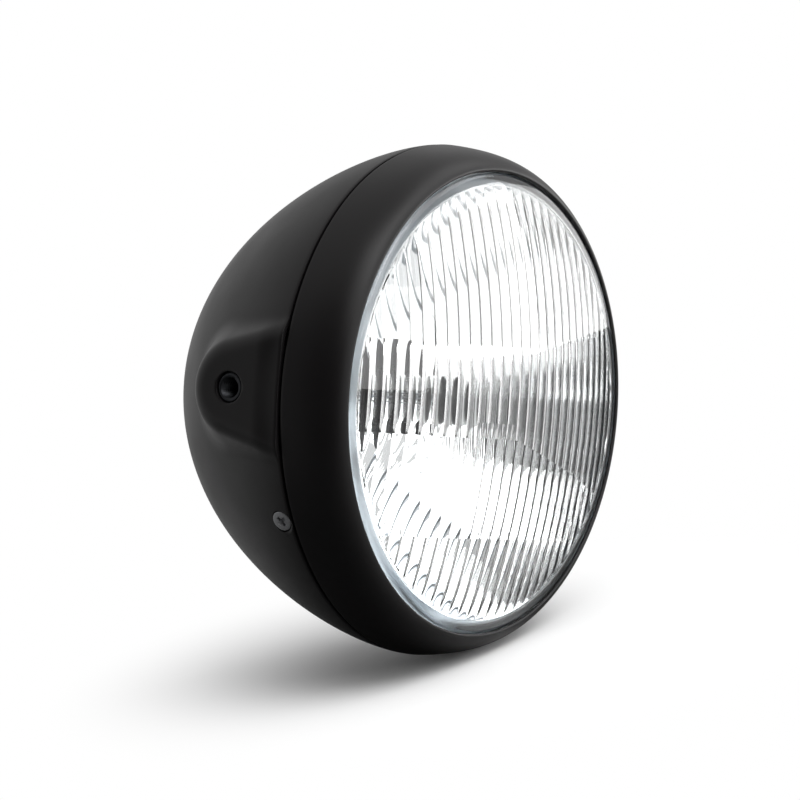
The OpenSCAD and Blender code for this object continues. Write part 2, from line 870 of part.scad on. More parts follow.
// Plate in the collar that carries the bulb, with its hinge tab and catch
module bulb_seat() {
    hole_r = bulb_disc_r - seat_lap;
    foot_y = neck_y + reflector_wall + seat_gap;
    foot_w = seat_t;
    root_y = seat_y - seat_t / 2;
    tab_h = wire_y + wire_r * 2 - seat_y;
    hook_y = wire_y + wire_r + seat_gap;
    color("#3d3f42")
        placed()
            difference() {
                union() {
                    turned([
                        [hole_r, seat_y - seat_t],
                        [neck_r, seat_y - seat_t],
                        [neck_r, foot_y],
                        [neck_r + foot_w, foot_y],
                        [neck_r + foot_w, seat_y - seat_t],
                        [collar_r - collar_wall - seat_gap, seat_y - seat_t],
                        [collar_r - collar_wall - seat_gap, seat_y],
                        [hole_r, seat_y]
                    ]);
                    translate([hinge_x - hinge_t / 2, root_y, -hinge_w / 2])
                        cube([hinge_t, seat_t / 2 + tab_h, hinge_w]);
                    translate([catch_x + hook_open, root_y, -hook_w / 2])
                        cube([post_t, hook_y + hook_t - root_y, hook_w]);
                    translate([catch_x - wire_r, hook_y, -hook_w / 2])
                        cube([hook_open + wire_r + post_t, hook_t, hook_w]);
                }
                translate([hinge_x, wire_y, -hinge_w])
                    cylinder(r = wire_r + seat_gap, h = hinge_w * 2, $fn = small_fn);
            }
}

// Wire spring across the bulb's flange
module bulb_clip() {
    arc_x = catch_x - wire_leg_z;
    color("#a5a7a9")
        placed()
            translate([0, wire_y, 0]) {
                for (side = [-1, 1]) {
                    translate([hinge_x - wire_r, 0, side * wire_leg_z])
                        rotate([0, 90, 0])
                            cylinder(r = wire_r, h = arc_x - hinge_x + wire_r, $fn = small_fn);
                    translate([hinge_x, 0, side > 0 ? stub_end : -wire_leg_z])
                        cylinder(r = wire_r, h = wire_leg_z - stub_end, $fn = small_fn);
                }
                translate([arc_x, 0, 0])
                    rotate([-90, 0, 0])
                        rotate([0, 0, -90])
                            rotate_extrude(angle = 180, $fn = round_fn / 2)
                                translate([wire_leg_z, 0])
                                    circle(r = wire_r, $fn = small_fn);
            }
}

// Metal base of the bulb with its sleeve, disc, three lugs and rear cup
module bulb_base() {
    sleeve_r = bulb_glass_r + bulb_sleeve_gap;
    web_y = seat_y - bulb_web;
    disc_y = seat_y + bulb_flange_t;
    color("#4a4b4d")
        placed() {
            turned([
                [0, web_y],
                [sleeve_r, web_y],
                [sleeve_r, seat_y - bulb_sleeve_len],
                [sleeve_r + bulb_sleeve_wall, seat_y - bulb_sleeve_len],
                [sleeve_r + bulb_sleeve_wall, seat_y],
                [bulb_disc_r, seat_y],
                [bulb_disc_r, disc_y],
                [bulb_cup_r, disc_y],
                [bulb_cup_r, disc_y + bulb_cup_len],
                [bulb_cup_r - bulb_cup_wall, disc_y + bulb_cup_len],
                [bulb_cup_r - bulb_cup_wall, disc_y + bulb_sleeve_gap],
                [0, disc_y + bulb_sleeve_gap]
            ], small_fn * 2);
            for (turn = [90, 210, 330])
                rotate([0, -turn, 0])
                    translate([bulb_disc_r - eps, seat_y, -bulb_lug_w / 2])
                        cube([bulb_lug_proud + eps, bulb_flange_t, bulb_lug_w]);
        }
}

// Glass of the bulb, hollow ahead of its pinch
module bulb_glass() {
    tip_y = seat_y - bulb_reach;
    dome = bulb_glass_r * bulb_dome_share;
    end_y = seat_y - bulb_web - slide_gap;
    step = 90 / bulb_dome_steps;
    inner_r = bulb_glass_r - bulb_glass_t;
    color("#e6ecef")
        placed()
            turned(concat(
                [for (i = [0 : bulb_dome_steps])
                    [bulb_glass_r * sin(step * i), tip_y + dome * (1 - cos(step * i))]],
                [
                    [bulb_glass_r, end_y],
                    [0, end_y],
                    [0, pinch_y],
                    [inner_r, pinch_y]
                ],
                [for (i = [bulb_dome_steps : -1 : 0])
                    [inner_r * sin(step * i),
                        tip_y + bulb_glass_t + (dome - bulb_glass_t) * (1 - cos(step * i))]]
            ), small_fn * 2);
}

// Plastic block that carries the three blades
module bulb_insulator() {
    cup_y = seat_y + bulb_flange_t;
    plug_r = bulb_cup_r - bulb_cup_wall - bulb_sleeve_gap;
    color("#17181a")
        placed()
            turned([
                [0, cup_y + slide_gap],
                [plug_r, cup_y + slide_gap],
                [plug_r, cup_y + bulb_cup_len + seat_gap],
                [insulator_r, cup_y + bulb_cup_len + seat_gap],
                [insulator_r, insulator_y],
                [0, insulator_y]
            ], small_fn * 2);
}

// One blade terminal behind the insulator
module blade(place, turn) {
    color("#c2a15a")
        placed()
            translate([place[0], insulator_y, place[1]])
                rotate([0, turn, 0])
                    translate([-blade_w / 2, 0, -blade_t / 2])
                        cube([blade_w, blade_len, blade_t]);
}

module terminal_main() blade([-blade_x, -blade_drop], 90);
module terminal_dip() blade([0, blade_z], 0);
module terminal_earth() blade([blade_x, -blade_drop], 90);

// Coil of a filament with its two leads, the front one beside the other
module filament(coil_y, coil_z, lead) {
    color("#8a8c90")
        placed() {
            translate([0, 0, coil_z])
                rod(filament_r, coil_y, coil_y + filament_len);
            translate([0, 0, coil_z])
                rod(lead_r, coil_y + filament_len - lead_r, pinch_y);
            translate([lead[0], 0, lead[1]])
                rod(lead_r, coil_y, pinch_y);
            translate([0, coil_y + lead_r * 2, coil_z])
                rotate([0, atan2(lead[0], lead[1] - coil_z), 0])
                    cylinder(r = lead_r * cross_share, h = norm([lead[0], lead[1] - coil_z]), $fn = small_fn);
        }
}

module main_filament() filament(focus_y - filament_len / 2, 0, [-lead_spread, 0]);
module dip_filament() filament(dip_y, dip_lift, [lead_spread, dip_lift]);

// Metal shield under the dip filament, on its own stem
module dip_shield() {
    front_y = dip_y - shield_over;
    end_y = dip_y + filament_len + shield_over;
    color("#9fa1a4")
        placed() {
            translate([0, 0, dip_lift])
                difference() {
                    rod(shield_r, front_y, end_y);
                    rod(shield_r - shield_t, front_y - eps, end_y + eps);
                    translate([-shield_r - eps, front_y - eps, -lead_r - seat_gap])
                        cube([2 * (shield_r + eps), end_y - front_y + 2 * eps, 2 * shield_r]);
                }
            translate([0, 0, dip_lift - shield_r + shield_t / 2])
                rod(lead_r, end_y - shield_over, pinch_y);
        }
}

// Rubber boot from the reflector's collar to the insulator
module dust_boot() {
    t = boot_t;
    in_r = collar_r + seat_gap;
    neck_in_r = insulator_r + seat_gap;
    front_y = collar_end_y - boot_grip;
    roof_y = collar_end_y + boot_roof;
    lip_end_y = insulator_y - boot_lip;
    color("#1b1b1c")
        placed()
            turned([
                [in_r, front_y],
                [in_r + t, front_y],
                [in_r + t, roof_y],
                [in_r - boot_corner, roof_y + t],
                [neck_in_r + boot_slope, roof_y + t + boot_dish],
                [neck_in_r + t, roof_y + t + boot_dish],
                [neck_in_r + t, lip_end_y],
                [neck_in_r, lip_end_y],
                [neck_in_r, roof_y + boot_dish],
                [neck_in_r + boot_slope - boot_corner, roof_y + boot_dish],
                [in_r - 2 * boot_corner, roof_y],
                [in_r, roof_y - boot_corner]
            ]);
}

// Rubber grommet in the nose
module cable_grommet() {
    neck = cable_hole_r - seat_gap;
    inner_y = nose_y - bowl_wall;
    inner_r = grommet_r - grommet_taper;
    round = grommet_round;
    color("#161616")
        placed()
            turned([
                [cable_bore_r, inner_y - grommet_lip],
                [inner_r - round, inner_y - grommet_lip],
                [inner_r, inner_y - grommet_lip + round],
                [inner_r, inner_y - seat_gap],
                [neck, inner_y - seat_gap],
                [neck, nose_y + seat_gap],
                [grommet_r, nose_y + seat_gap],
                [grommet_r, grommet_end_y - round],
                [grommet_r - round, grommet_end_y],
                [cable_bore_r + round, grommet_end_y],
                [cable_bore_r, grommet_end_y - round]
            ]);
}

shell();
rim();
lens();
reflector();
lens_bond();
rim_gasket();
unit_clip_1();
unit_clip_2();
unit_clip_3();
unit_clip_4();
unit_clip_5();
left_bush();
right_bush();
left_rim_screw();
right_rim_screw();
left_rim_nut();
right_rim_nut();
rim_catch();
bulb_seat();
bulb_clip();
bulb_base();
bulb_glass();
bulb_insulator();
terminal_main();
terminal_dip();
terminal_earth();
main_filament();
dip_filament();
dip_shield();
dust_boot();
cable_grommet();
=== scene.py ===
"""Looks of a round motorcycle headlight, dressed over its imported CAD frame.

The lamp looks along -Y, +Z is up, and its two threaded side mounts lie on X.
Sizes in the classes are millimetres from the seam plane between bowl and rim,
as in the part's source. Meshes are in metres, in the frame's own coordinates.
"""

import json
import logging
import math
from dataclasses import dataclass, field
from enum import Enum
from typing import Any, Iterable, Optional, Sequence

import bpy
import numpy as np
from mathutils import Matrix, Vector


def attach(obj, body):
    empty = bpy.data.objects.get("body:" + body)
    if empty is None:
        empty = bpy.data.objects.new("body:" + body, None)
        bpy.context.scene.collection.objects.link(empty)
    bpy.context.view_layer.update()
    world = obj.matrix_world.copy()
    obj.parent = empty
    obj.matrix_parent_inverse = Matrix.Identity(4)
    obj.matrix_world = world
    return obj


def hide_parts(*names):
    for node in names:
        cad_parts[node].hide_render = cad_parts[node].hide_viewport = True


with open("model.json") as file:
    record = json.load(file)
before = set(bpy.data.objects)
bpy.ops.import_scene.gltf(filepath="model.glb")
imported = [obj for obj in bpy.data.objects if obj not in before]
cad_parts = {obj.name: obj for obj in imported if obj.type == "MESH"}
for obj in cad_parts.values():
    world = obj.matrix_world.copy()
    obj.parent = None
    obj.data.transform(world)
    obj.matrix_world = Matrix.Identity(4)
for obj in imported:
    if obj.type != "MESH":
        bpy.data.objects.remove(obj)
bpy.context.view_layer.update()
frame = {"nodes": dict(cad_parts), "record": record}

log = logging.getLogger("headlight")

MM = 0.001
ROOT = "root"
# Distance from the seam plane back to the frame's origin
SEAM_TO_ORIGIN = 28.906
# Grey values between which most of a noise lies
NOISE_SPAN = (0.3, 0.7)

Point = tuple[float, float]
Point3 = tuple[float, float, float]
Faces = list[tuple[int, ...]]
Piece = bpy.types.Object
Material = bpy.types.Material
Tree = bpy.types.NodeTree
Socket = bpy.types.NodeSocket


class Slot(Enum):
    """Material slots of the record that new pieces take their finish from."""

    PAINT = "black_paint"
    LENS = "lens_glass"
    MIRROR = "mirror_aluminium"
    SEALANT = "sealant"
    RUBBER = "black_rubber"
    BLACK_STEEL = "black_steel"
    ZINC = "zinc_steel"
    SPRING = "spring_steel"
    BULB_METAL = "bulb_metal"
    BULB_GLASS = "bulb_glass"
    PLASTIC = "black_plastic"
    BRASS = "brass_blade"
    WIRE = "filament_wire"


class Side(Enum):
    """The lamp's two sides, by the sign of X."""

    LEFT = -1
    RIGHT = 1


def linear(hex_color: str) -> tuple[float, float, float, float]:
    """Turns an sRGB hex colour into a linear one.

    Args:
        hex_color: Six hex digits after a hash sign.

    Returns:
        Linear red, green, blue and an alpha of one.
    """
    parts = [int(hex_color[i : i + 2], 16) / 255 for i in (1, 3, 5)]
    low = [p / 12.92 if p <= 0.04045 else ((p + 0.055) / 1.055) ** 2.4 for p in parts]
    return (low[0], low[1], low[2], 1.0)


def add_node(
    tree: Tree, kind: str, inputs: Optional[dict[Any, Any]] = None, **settings: Any
) -> bpy.types.Node:
    """Adds a node with its settings, values and links.

    Args:
        tree: The node tree that the node goes into.
        kind: The node's type name.
        inputs: Input name or number to a value, or to one output socket or a list
            of them to link.
        **settings: Properties of the node itself.

    Returns:
        The new node.
    """
    made = tree.nodes.new(kind)
    for name, value in settings.items():
        setattr(made, name, value)
    for key, value in (inputs or {}).items():
        sources = value if isinstance(value, list) else [value]
        if isinstance(sources[0], Socket):
            for source in sources:
                tree.links.new(source, made.inputs[key])
        else:
            made.inputs[key].default_value = value
    return made


def give(
    tree: Tree, kind: str, out: str, inputs: Optional[dict[Any, Any]] = None, **settings: Any
) -> Socket:
    """Adds a node and gives its output of the name `out`."""
    return add_node(tree, kind, inputs, **settings).outputs[out]


def calc(tree: Tree, operation: str, *values: Any) -> Socket:
    """Adds a sum over numbers or sockets."""
    return give(tree, "ShaderNodeMath", "Value", dict(enumerate(values)), operation=operation)


def calc_vector(tree: Tree, operation: str, out: str, *values: Any) -> Socket:
    """Adds a sum over vectors or sockets and gives its output of the name `out`."""
    return give(tree, "ShaderNodeVectorMath", out, dict(enumerate(values)), operation=operation)


def ramp(
    tree: Tree, value: Socket, span: Point, ends: Point = (0.0, 1.0), smooth: bool = False
) -> Socket:
    """Adds a ramp of a value over a span.

    Args:
        tree: The node tree.
        value: What is ramped.
        span: Where the ramp begins and ends.
        ends: What it gives there.
        smooth: Whether it starts and ends softly.

    Returns:
        The ramp's output.
    """
    names = ("Value", "From Min", "From Max", "To Min", "To Max")
    inputs = dict(zip(names, (value, *span, *ends)))
    kind = "SMOOTHSTEP" if smooth else "LINEAR"
    return give(tree, "ShaderNodeMapRange", "Result", inputs, interpolation_type=kind)


def mix(tree: Tree, factor: Socket, first: Any, second: Any, kind: str = "RGBA") -> Socket:
    """Adds a mix of two colours, or of two numbers where the kind is FLOAT."""
    inputs = {"Factor": factor, "A": first, "B": second}
    return give(tree, "ShaderNodeMix", "Result", inputs, data_type=kind)


def mix_shader(tree: Tree, factor: Socket, first: Socket, second: Socket) -> Socket:
    """Adds a mix of two shaders."""
    return give(tree, "ShaderNodeMixShader", "Shader", {0: factor, 1: first, 2: second})


def noise(
    tree: Tree, place: Socket, scale: float, detail: float, roughness: float = 0.5
) -> Socket:
    """Adds a noise with a scale in waves a metre and gives its grey value."""
    inputs = {"Vector": place, "Scale": scale, "Detail": detail, "Roughness": roughness}
    return give(tree, "ShaderNodeTexNoise", "Fac", inputs)


def bump(tree: Tree, height: Socket, strength: float, height_mm: float) -> Socket:
    """Adds a bump with its full height in millimetres and gives its normal."""
    inputs = {"Height": height, "Strength": strength, "Distance": height_mm * MM}
    return give(tree, "ShaderNodeBump", "Normal", inputs)


def place_y(tree: Tree, place: Socket) -> Socket:
    """Adds what takes the Y out of a place."""
    return give(tree, "ShaderNodeSeparateXYZ", "Y", {"Vector": place})


def new_material(name: str) -> tuple[Material, Tree, Socket]:
    """Makes a material whose tree holds only its output and the place in the lamp.

    Args:
        name: The material's name.

    Returns:
        The material, its node tree and the place.
    """
    material = bpy.data.materials.new(name)
    material.use_nodes = True
    tree = material.node_tree
    tree.nodes.clear()
    add_node(tree, "ShaderNodeOutputMaterial")
    return material, tree, give(tree, "ShaderNodeTexCoord", "Object")


def finish_tree(tree: Tree, shader: Socket) -> None:
    """Links a shader to the tree's output."""
    tree.links.new(shader, tree.nodes["Material Output"].inputs["Surface"])


def finish_surface(tree: Tree, inputs: dict[str, Any]) -> None:
    """Ends a material with one principled surface."""
    finish_tree(tree, give(tree, "ShaderNodeBsdfPrincipled", "BSDF", inputs))


def bowl_y(y: float) -> float:
    """Turns millimetres behind the seam into the frame's Y in metres."""
    return (y - SEAM_TO_ORIGIN) * MM


def bezier(points: Sequence[Point], count: int) -> list[Point]:
    """Samples a cubic curve.

    Args:
        points: Four control points.
        count: Number of samples, both ends included.

    Returns:
        The samples in order.
    """
    p = np.array(points, dtype=float)
    out = []
    for t in np.linspace(0, 1, count):
        w = np.array([(1 - t) ** 3, 3 * t * (1 - t) ** 2, 3 * t * t * (1 - t), t**3])
        out.append(tuple(w @ p))
    return out


def arc(centre: Point, radius: float, start: float, end: float, count: int) -> list[Point]:
    """Samples an arc in the (r, y) plane.

    Args:
        centre: The arc's centre.
        radius: Its radius.
        start: Angle of the first sample in degrees, from +r towards +y.
        end: Angle of the last sample.
        count: Number of samples.

    Returns:
        The samples in order.
    """
    return [
        (centre[0] + radius * math.cos(a), centre[1] + radius * math.sin(a))
        for a in np.radians(np.linspace(start, end, count))
    ]


def offset_path(path: Sequence[Point], distance: float) -> list[Point]:
    """Moves a path sideways, to the left of its heading.

    Args:
        path: Points of radius and y.
        distance: How far, in millimetres.

    Returns:
        The moved points.
    """
    p = np.array(path, dtype=float)
    h = np.gradient(p, axis=0)
    h /= np.linalg.norm(h, axis=1)[:, None]
    return [tuple(q) for q in p + distance * np.stack([-h[:, 1], h[:, 0]], axis=1)]


def smooth_step(x: np.ndarray) -> np.ndarray:
    """Smooth ramp from 0 to 1."""
    x = np.clip(x, 0, 1)
    return x * x * (3 - 2 * x)


def smooth_max(a: np.ndarray, b: np.ndarray, width: float) -> np.ndarray:
    """Larger of two heights, with a fillet of a width where they cross."""
    h = np.clip(0.5 + 0.5 * (a - b) / width, 0, 1)
    return b + (a - b) * h + width * h * (1 - h)


def signed_volume(points: np.ndarray, faces: Sequence[Sequence[int]]) -> float:
    """Volume inside a closed mesh, negative where its faces point inwards."""
    total = 0.0
    for f in faces:
        for i in range(1, len(f) - 1):
            a, b, c = points[f[0]], points[f[i]], points[f[i + 1]]
            total += float(np.dot(a, np.cross(b, c)))
    return total / 6


def add_object(name: str, data: bpy.types.ID) -> Piece:
    """Makes an object and links it to the scene."""
    made = bpy.data.objects.new(name, data)
    bpy.context.scene.collection.objects.link(made)
    return made


def shade(mesh: bpy.types.Mesh, sharp: float) -> None:
    """Shades a mesh smooth, and sharp at edges beyond an angle in degrees."""
    mesh.polygons.foreach_set("use_smooth", [True] * len(mesh.polygons))
    mesh.set_sharp_from_angle(angle=math.radians(sharp))


def settle(piece: Piece) -> bpy.types.Mesh:
    """Turns a piece with modifiers into a plain mesh and gives that."""
    graph = bpy.context.evaluated_depsgraph_get()
    mesh = bpy.data.meshes.new_from_object(piece.evaluated_get(graph))
    piece.modifiers.clear()
    piece.data = mesh
    return mesh


def make_piece(
    name: str, points: np.ndarray, faces: Sequence[Sequence[int]], sharp: float = 32.0
) -> Piece:
    """Makes an object from points in the frame's metres, faces outwards.

    Args:
        name: Name of the piece.
        points: Vertex positions.
        faces: Vertex numbers of each face.
        sharp: Angle in degrees beyond which an edge is kept sharp.

    Returns:
        The new object, linked to the scene.
    """
    points = np.asarray(points, dtype=float)
    if signed_volume(points, faces) < 0:
        faces = [tuple(reversed(f)) for f in faces]
    mesh = bpy.data.meshes.new(name)
    mesh.from_pydata(points.tolist(), [], [tuple(f) for f in faces])
    mesh.validate()
    shade(mesh, sharp)
    mesh.update()
    return add_object(name, mesh)


def ring_points(radius: Any, y: float, angles: np.ndarray) -> np.ndarray:
    """Points in metres round the lamp axis, at radii and a y in millimetres."""
    x, z = radius * np.cos(angles) * MM, radius * np.sin(angles) * MM
    return np.stack([x, np.full(len(angles), bowl_y(y)), z], axis=1)


def ring_faces(count: int, rings: int, closed: bool = True, first: int = 0) -> Faces:
    """Quads between rings of points that follow each other.

    Args:
        count: Points in a ring.
        rings: Number of rings.
        closed: Whether the last ring joins the first.
        first: Number of the first ring's first point.

    Returns:
        The faces.
    """
    faces = []
    for j in range(rings if closed else rings - 1):
        a, b = first + j * count, first + (j + 1) % rings * count
        for i in range(count):
            g = (i + 1) % count
            faces.append((a + i, a + g, b + g, b + i))
    return faces


def lathe(profile: Sequence[Point], angles: np.ndarray) -> tuple[np.ndarray, Faces]:
    """Turns a closed profile about the lamp axis.

    Args:
        profile: Points of radius and y in millimetres. It closes on itself, or
            through the axis where its first and last radius are zero.
        angles: Angles in radians from +X towards +Z, over one full turn.

    Returns:
        Points in metres and faces.
    """
    open_ends = profile[0][0] < 1e-6 and profile[-1][0] < 1e-6
    rings = list(profile[1:-1]) if open_ends else list(profile)
    n, m = len(angles), len(rings)
    points = np.vstack([ring_points(r, y, angles) for r, y in rings])
    faces = ring_faces(n, m, closed=not open_ends)
    if open_ends:
        first = len(points)
        ends = [[0, bowl_y(y), 0] for _, y in (profile[0], profile[-1])]
        points = np.vstack([points, ends])
        for i in range(n):
            g = (i + 1) % n
            faces.append((first, g, i))
            faces.append((first + 1, (m - 1) * n + i, (m - 1) * n + g))
    return points, faces


def even_angles(count: int) -> np.ndarray:
    """Angles of a full turn, evenly spaced."""
    return np.arange(count) * 2 * math.pi / count


def moved(points: np.ndarray, matrix: Matrix) -> np.ndarray:
    """Applies a matrix to points."""
    m = np.array(matrix)
    return points @ m[:3, :3].T + m[:3, 3]


def boolean(piece: Piece, cutters: Iterable[Piece], sharp: float = 32.0) -> Piece:
    """Cuts closed shapes out of a piece and keeps a plain mesh.

    Args:
        piece: The piece to cut.
        cutters: Closed meshes, which are used up.
        sharp: Angle beyond which an edge is kept sharp.

    Returns:
        The same object with its new mesh.
    """
    for cutter in cutters:
        step = piece.modifiers.new("cut", "BOOLEAN")
        step.operation = "DIFFERENCE"
        step.solver = "EXACT"
        step.object = cutter
        settle(piece)
        bpy.data.objects.remove(cutter)
    shade(piece.data, sharp)
    return piece


def plug(name: str, profile: Sequence[Point], place: Matrix, count: int = 64) -> Piece:
    """Makes a turned cutter or part about its own local Z.

    Args:
        name: Name of the object.
        profile: Points of radius and height, with both ends on the axis.
        place: Matrix from local millimetres turned along Z to the frame.
        count: Facets round it.

    Returns:
        The object.
    """
    turned, faces = lathe([(r, h + SEAM_TO_ORIGIN) for r, h in profile], even_angles(count))
    local = np.stack([turned[:, 0], -turned[:, 2], turned[:, 1]], axis=1)
    return make_piece(name, moved(local, place), faces)


def radial_place(angle: float, y: float) -> Matrix:
    """Matrix whose local Z runs out from the lamp axis.

    Args:
        angle: Degrees from +X towards +Z.
        y: Millimetres behind the seam.

    Returns:
        The matrix, with its origin on the lamp axis.
    """
    a = math.radians(angle)
    out = Vector((math.cos(a), 0, math.sin(a)))
    along = Vector((0, 1, 0))
    m = Matrix((along.cross(out), along, out)).transposed().to_4x4()
    m.translation = Vector((0, bowl_y(y), 0))
    return m


def geometry_tree(name: str, sizes: dict[str, float], material: Material) -> tuple[Tree, Any]:
    """Starts a geometry tree with one geometry, named sizes and a material.

    Args:
        name: The tree's name.
        sizes: Names of the inputs with their plain values.
        material: The material its geometry gets.

    Returns:
        The tree and what is given to it, by the inputs' names.
    """
    tree = bpy.data.node_groups.new(name, "GeometryNodeTree")
    face = tree.interface
    face.new_socket("Geometry", in_out="INPUT", socket_type="NodeSocketGeometry")
    for size, value in sizes.items():
        held = face.new_socket(size, in_out="INPUT", socket_type="NodeSocketFloat")
        held.default_value = value
    held = face.new_socket("Material", in_out="INPUT", socket_type="NodeSocketMaterial")
    held.default_value = material
    face.new_socket("Geometry", in_out="OUTPUT", socket_type="NodeSocketGeometry")
    return tree, add_node(tree, "NodeGroupInput").outputs


def close_tree(tree: Tree, given: Any, made: Any) -> None:
    """Ends a geometry tree with real geometry and its material.

    Args:
        tree: The geometry tree.
        given: What is given to it.
        made: The geometry that it has made, as one socket or a list.
    """
    joined = give(tree, "GeometryNodeJoinGeometry", "Geometry", {"Geometry": made})
    real = give(tree, "GeometryNodeRealizeInstances", "Geometry", {"Geometry": joined})
    inputs = {"Geometry": real, "Material": given["Material"]}
    dressed = give(tree, "GeometryNodeSetMaterial", "Geometry", inputs)
    add_node(tree, "NodeGroupOutput", {"Geometry": dressed})


def grow(
    name: str,
    lines: Sequence[Sequence[Point3]],
    tree: Tree,
    sizes: dict[str, float],
    sharp: float = 40.0,
) -> Piece:
    """Runs a geometry tree over drawn lines and keeps the plain mesh.

    Args:
        name: Name of the piece.
        lines: Open lines of points in metres.
        tree: The geometry tree.
        sizes: Values of its inputs that differ from the plain ones.
        sharp: Angle in degrees beyond which an edge is kept sharp.

    Returns:
        The piece.
    """
    edges, start = [], 0
    for line in lines:
        edges += [(start + i, start + i + 1) for i in range(len(line) - 1)]
        start += len(line)
    mesh = bpy.data.meshes.new(name)
    mesh.from_pydata([point for line in lines for point in line], edges, [])
    piece = add_object(name, mesh)
    step = piece.modifiers.new("grow", "NODES")
    step.node_group = tree
    for item in tree.interface.items_tree:
        if item.in_out == "INPUT" and item.name in sizes:
            step[item.identifier] = sizes[item.name]
    made = settle(piece)
    spots = np.array([v.co[:] for v in made.vertices])
    if signed_volume(spots, [tuple(f.vertices) for f in made.polygons]) < 0:
        made.flip_normals()
    made.polygons.foreach_set("material_index", [0] * len(made.polygons))
    shade(made, sharp)
    return piece


@dataclass(frozen=True)
class PowderCoat:
    """Polyester powder coating baked on pressed steel.

    It gives a satin black with a very fine orange peel: the powder's grains melt
    into dimples some 0.7 mm apart, and a few pale dust grains sit on it.

    Attributes:
        name: Name of the coating and its process.
        black: Its colour.
        dust: Colour of the dust grains.
        roughness: Mean roughness.
        drift: How far the roughness drifts to each side of that.
        sheen: Strength of its mirror part.
        peel_mm: Distance of the dimples.
        peel_height_mm: Their depth.
        drift_scale: Drifts a metre.
        grain_scale: Cells that may hold a grain, a metre.
        grain_edge: Size of a grain, from its full part to its edge, in cells.
        grain_above: Cells whose draw lies above this hold a grain.
    """

    name: str = "satin_black_powder_coat"
    black: str = "#0d0b0c"
    dust: str = "#8a8a88"
    roughness: float = 0.42
    drift: float = 0.03
    sheen: float = 0.25
    peel_mm: float = 0.7
    peel_height_mm: float = 0.012
    drift_scale: float = 38.0
    grain_scale: float = 62.0
    grain_edge: Point = (0.010, 0.016)
    grain_above: float = 0.94

    def material(self) -> Material:
        """Builds the coating."""
        material, tree, place = new_material(self.name)
        slow = noise(tree, place, self.drift_scale, 3.0)
        ends = (self.roughness - self.drift, self.roughness + self.drift)
        inputs = {"Vector": place, "Scale": self.grain_scale, "Randomness": 1.0}
        grains = add_node(tree, "ShaderNodeTexVoronoi", inputs, feature="F1").outputs
        speck = ramp(tree, grains["Distance"], self.grain_edge, (1.0, 0.0))
        draw = give(tree, "ShaderNodeSeparateColor", "Red", {"Color": grains["Color"]})
        dust = calc(tree, "MULTIPLY", speck, calc(tree, "GREATER_THAN", draw, self.grain_above))
        peel = noise(tree, place, 1 / (self.peel_mm * MM), 2.0, 0.45)
        look = {
            "Base Color": mix(tree, dust, linear(self.black), linear(self.dust)),
            "Roughness": ramp(tree, slow, NOISE_SPAN, ends),
            "Normal": bump(tree, peel, 0.5, self.peel_height_mm),
            "IOR": 1.5,
            "Specular IOR Level": self.sheen,
        }
        finish_surface(tree, look)
        return material


@dataclass(frozen=True)
class PressedGlass:
    """Soda-lime glass pressed in a mould: clear, faintly green-blue, fire-polished.

    Attributes:
        name: Name of the glass and its process.
        tint: Colour of the clear glass.
        ior: Index of refraction.
        wave_scale: Waves of the fire-polished face, a metre.
        wave_height_mm: Their height.
        foot_shade_tint: Grey of the foot of the inner face, which stayed matt from the mould; the
            grey is painted shade.
        foot_roughness: Roughness there.
        foot_r: Radius in millimetres beyond which it lies.
        foot_edge: Width of its edge in millimetres.
        foot_y: Place behind which it lies, in millimetres from the seam.
    """

    name: str = "pressed_soda_lime_glass"
    tint: str = "#fdfefe"
    ior: float = 1.5
    wave_scale: float = 90.0
    wave_height_mm: float = 0.12
    foot_shade_tint: str = "#6c767e"
    foot_roughness: float = 0.3
    foot_r: float = 78.1
    foot_edge: float = 0.5
    foot_y: float = -21.95

    def foot(self, tree: Tree, place: Socket) -> Socket:
        """Mask of the matt foot, whose grey tint is painted shade.

        Args:
            tree: The node tree.
            place: Place in the lamp.

        Returns:
            The mask's output.
        """
        flat = calc_vector(tree, "MULTIPLY", "Vector", place, (1.0, 0.0, 1.0))
        across = calc_vector(tree, "LENGTH", "Value", flat)
        beyond = ramp(tree, across, (self.foot_r * MM, (self.foot_r + self.foot_edge) * MM))
        behind = calc(tree, "GREATER_THAN", place_y(tree, place), bowl_y(self.foot_y))
        return calc(tree, "MULTIPLY", beyond, behind)

    def material(self) -> Material:
        """Builds the glass."""
        material, tree, place = new_material(self.name)
        waves = noise(tree, place, self.wave_scale, 1.0)
        # The foot is matt, and its grey tint is painted shade
        matt_shaded_foot = self.foot(tree, place)
        look = {
            "Base Color": mix(tree, matt_shaded_foot, linear(self.tint), linear(self.foot_shade_tint)),
            "Roughness": calc(tree, "MULTIPLY", matt_shaded_foot, self.foot_roughness),
            "IOR": self.ior,
            "Transmission Weight": 1.0,
            "Normal": bump(tree, waves, 0.35, self.wave_height_mm),
        }
        finish_surface(tree, look)
        return material


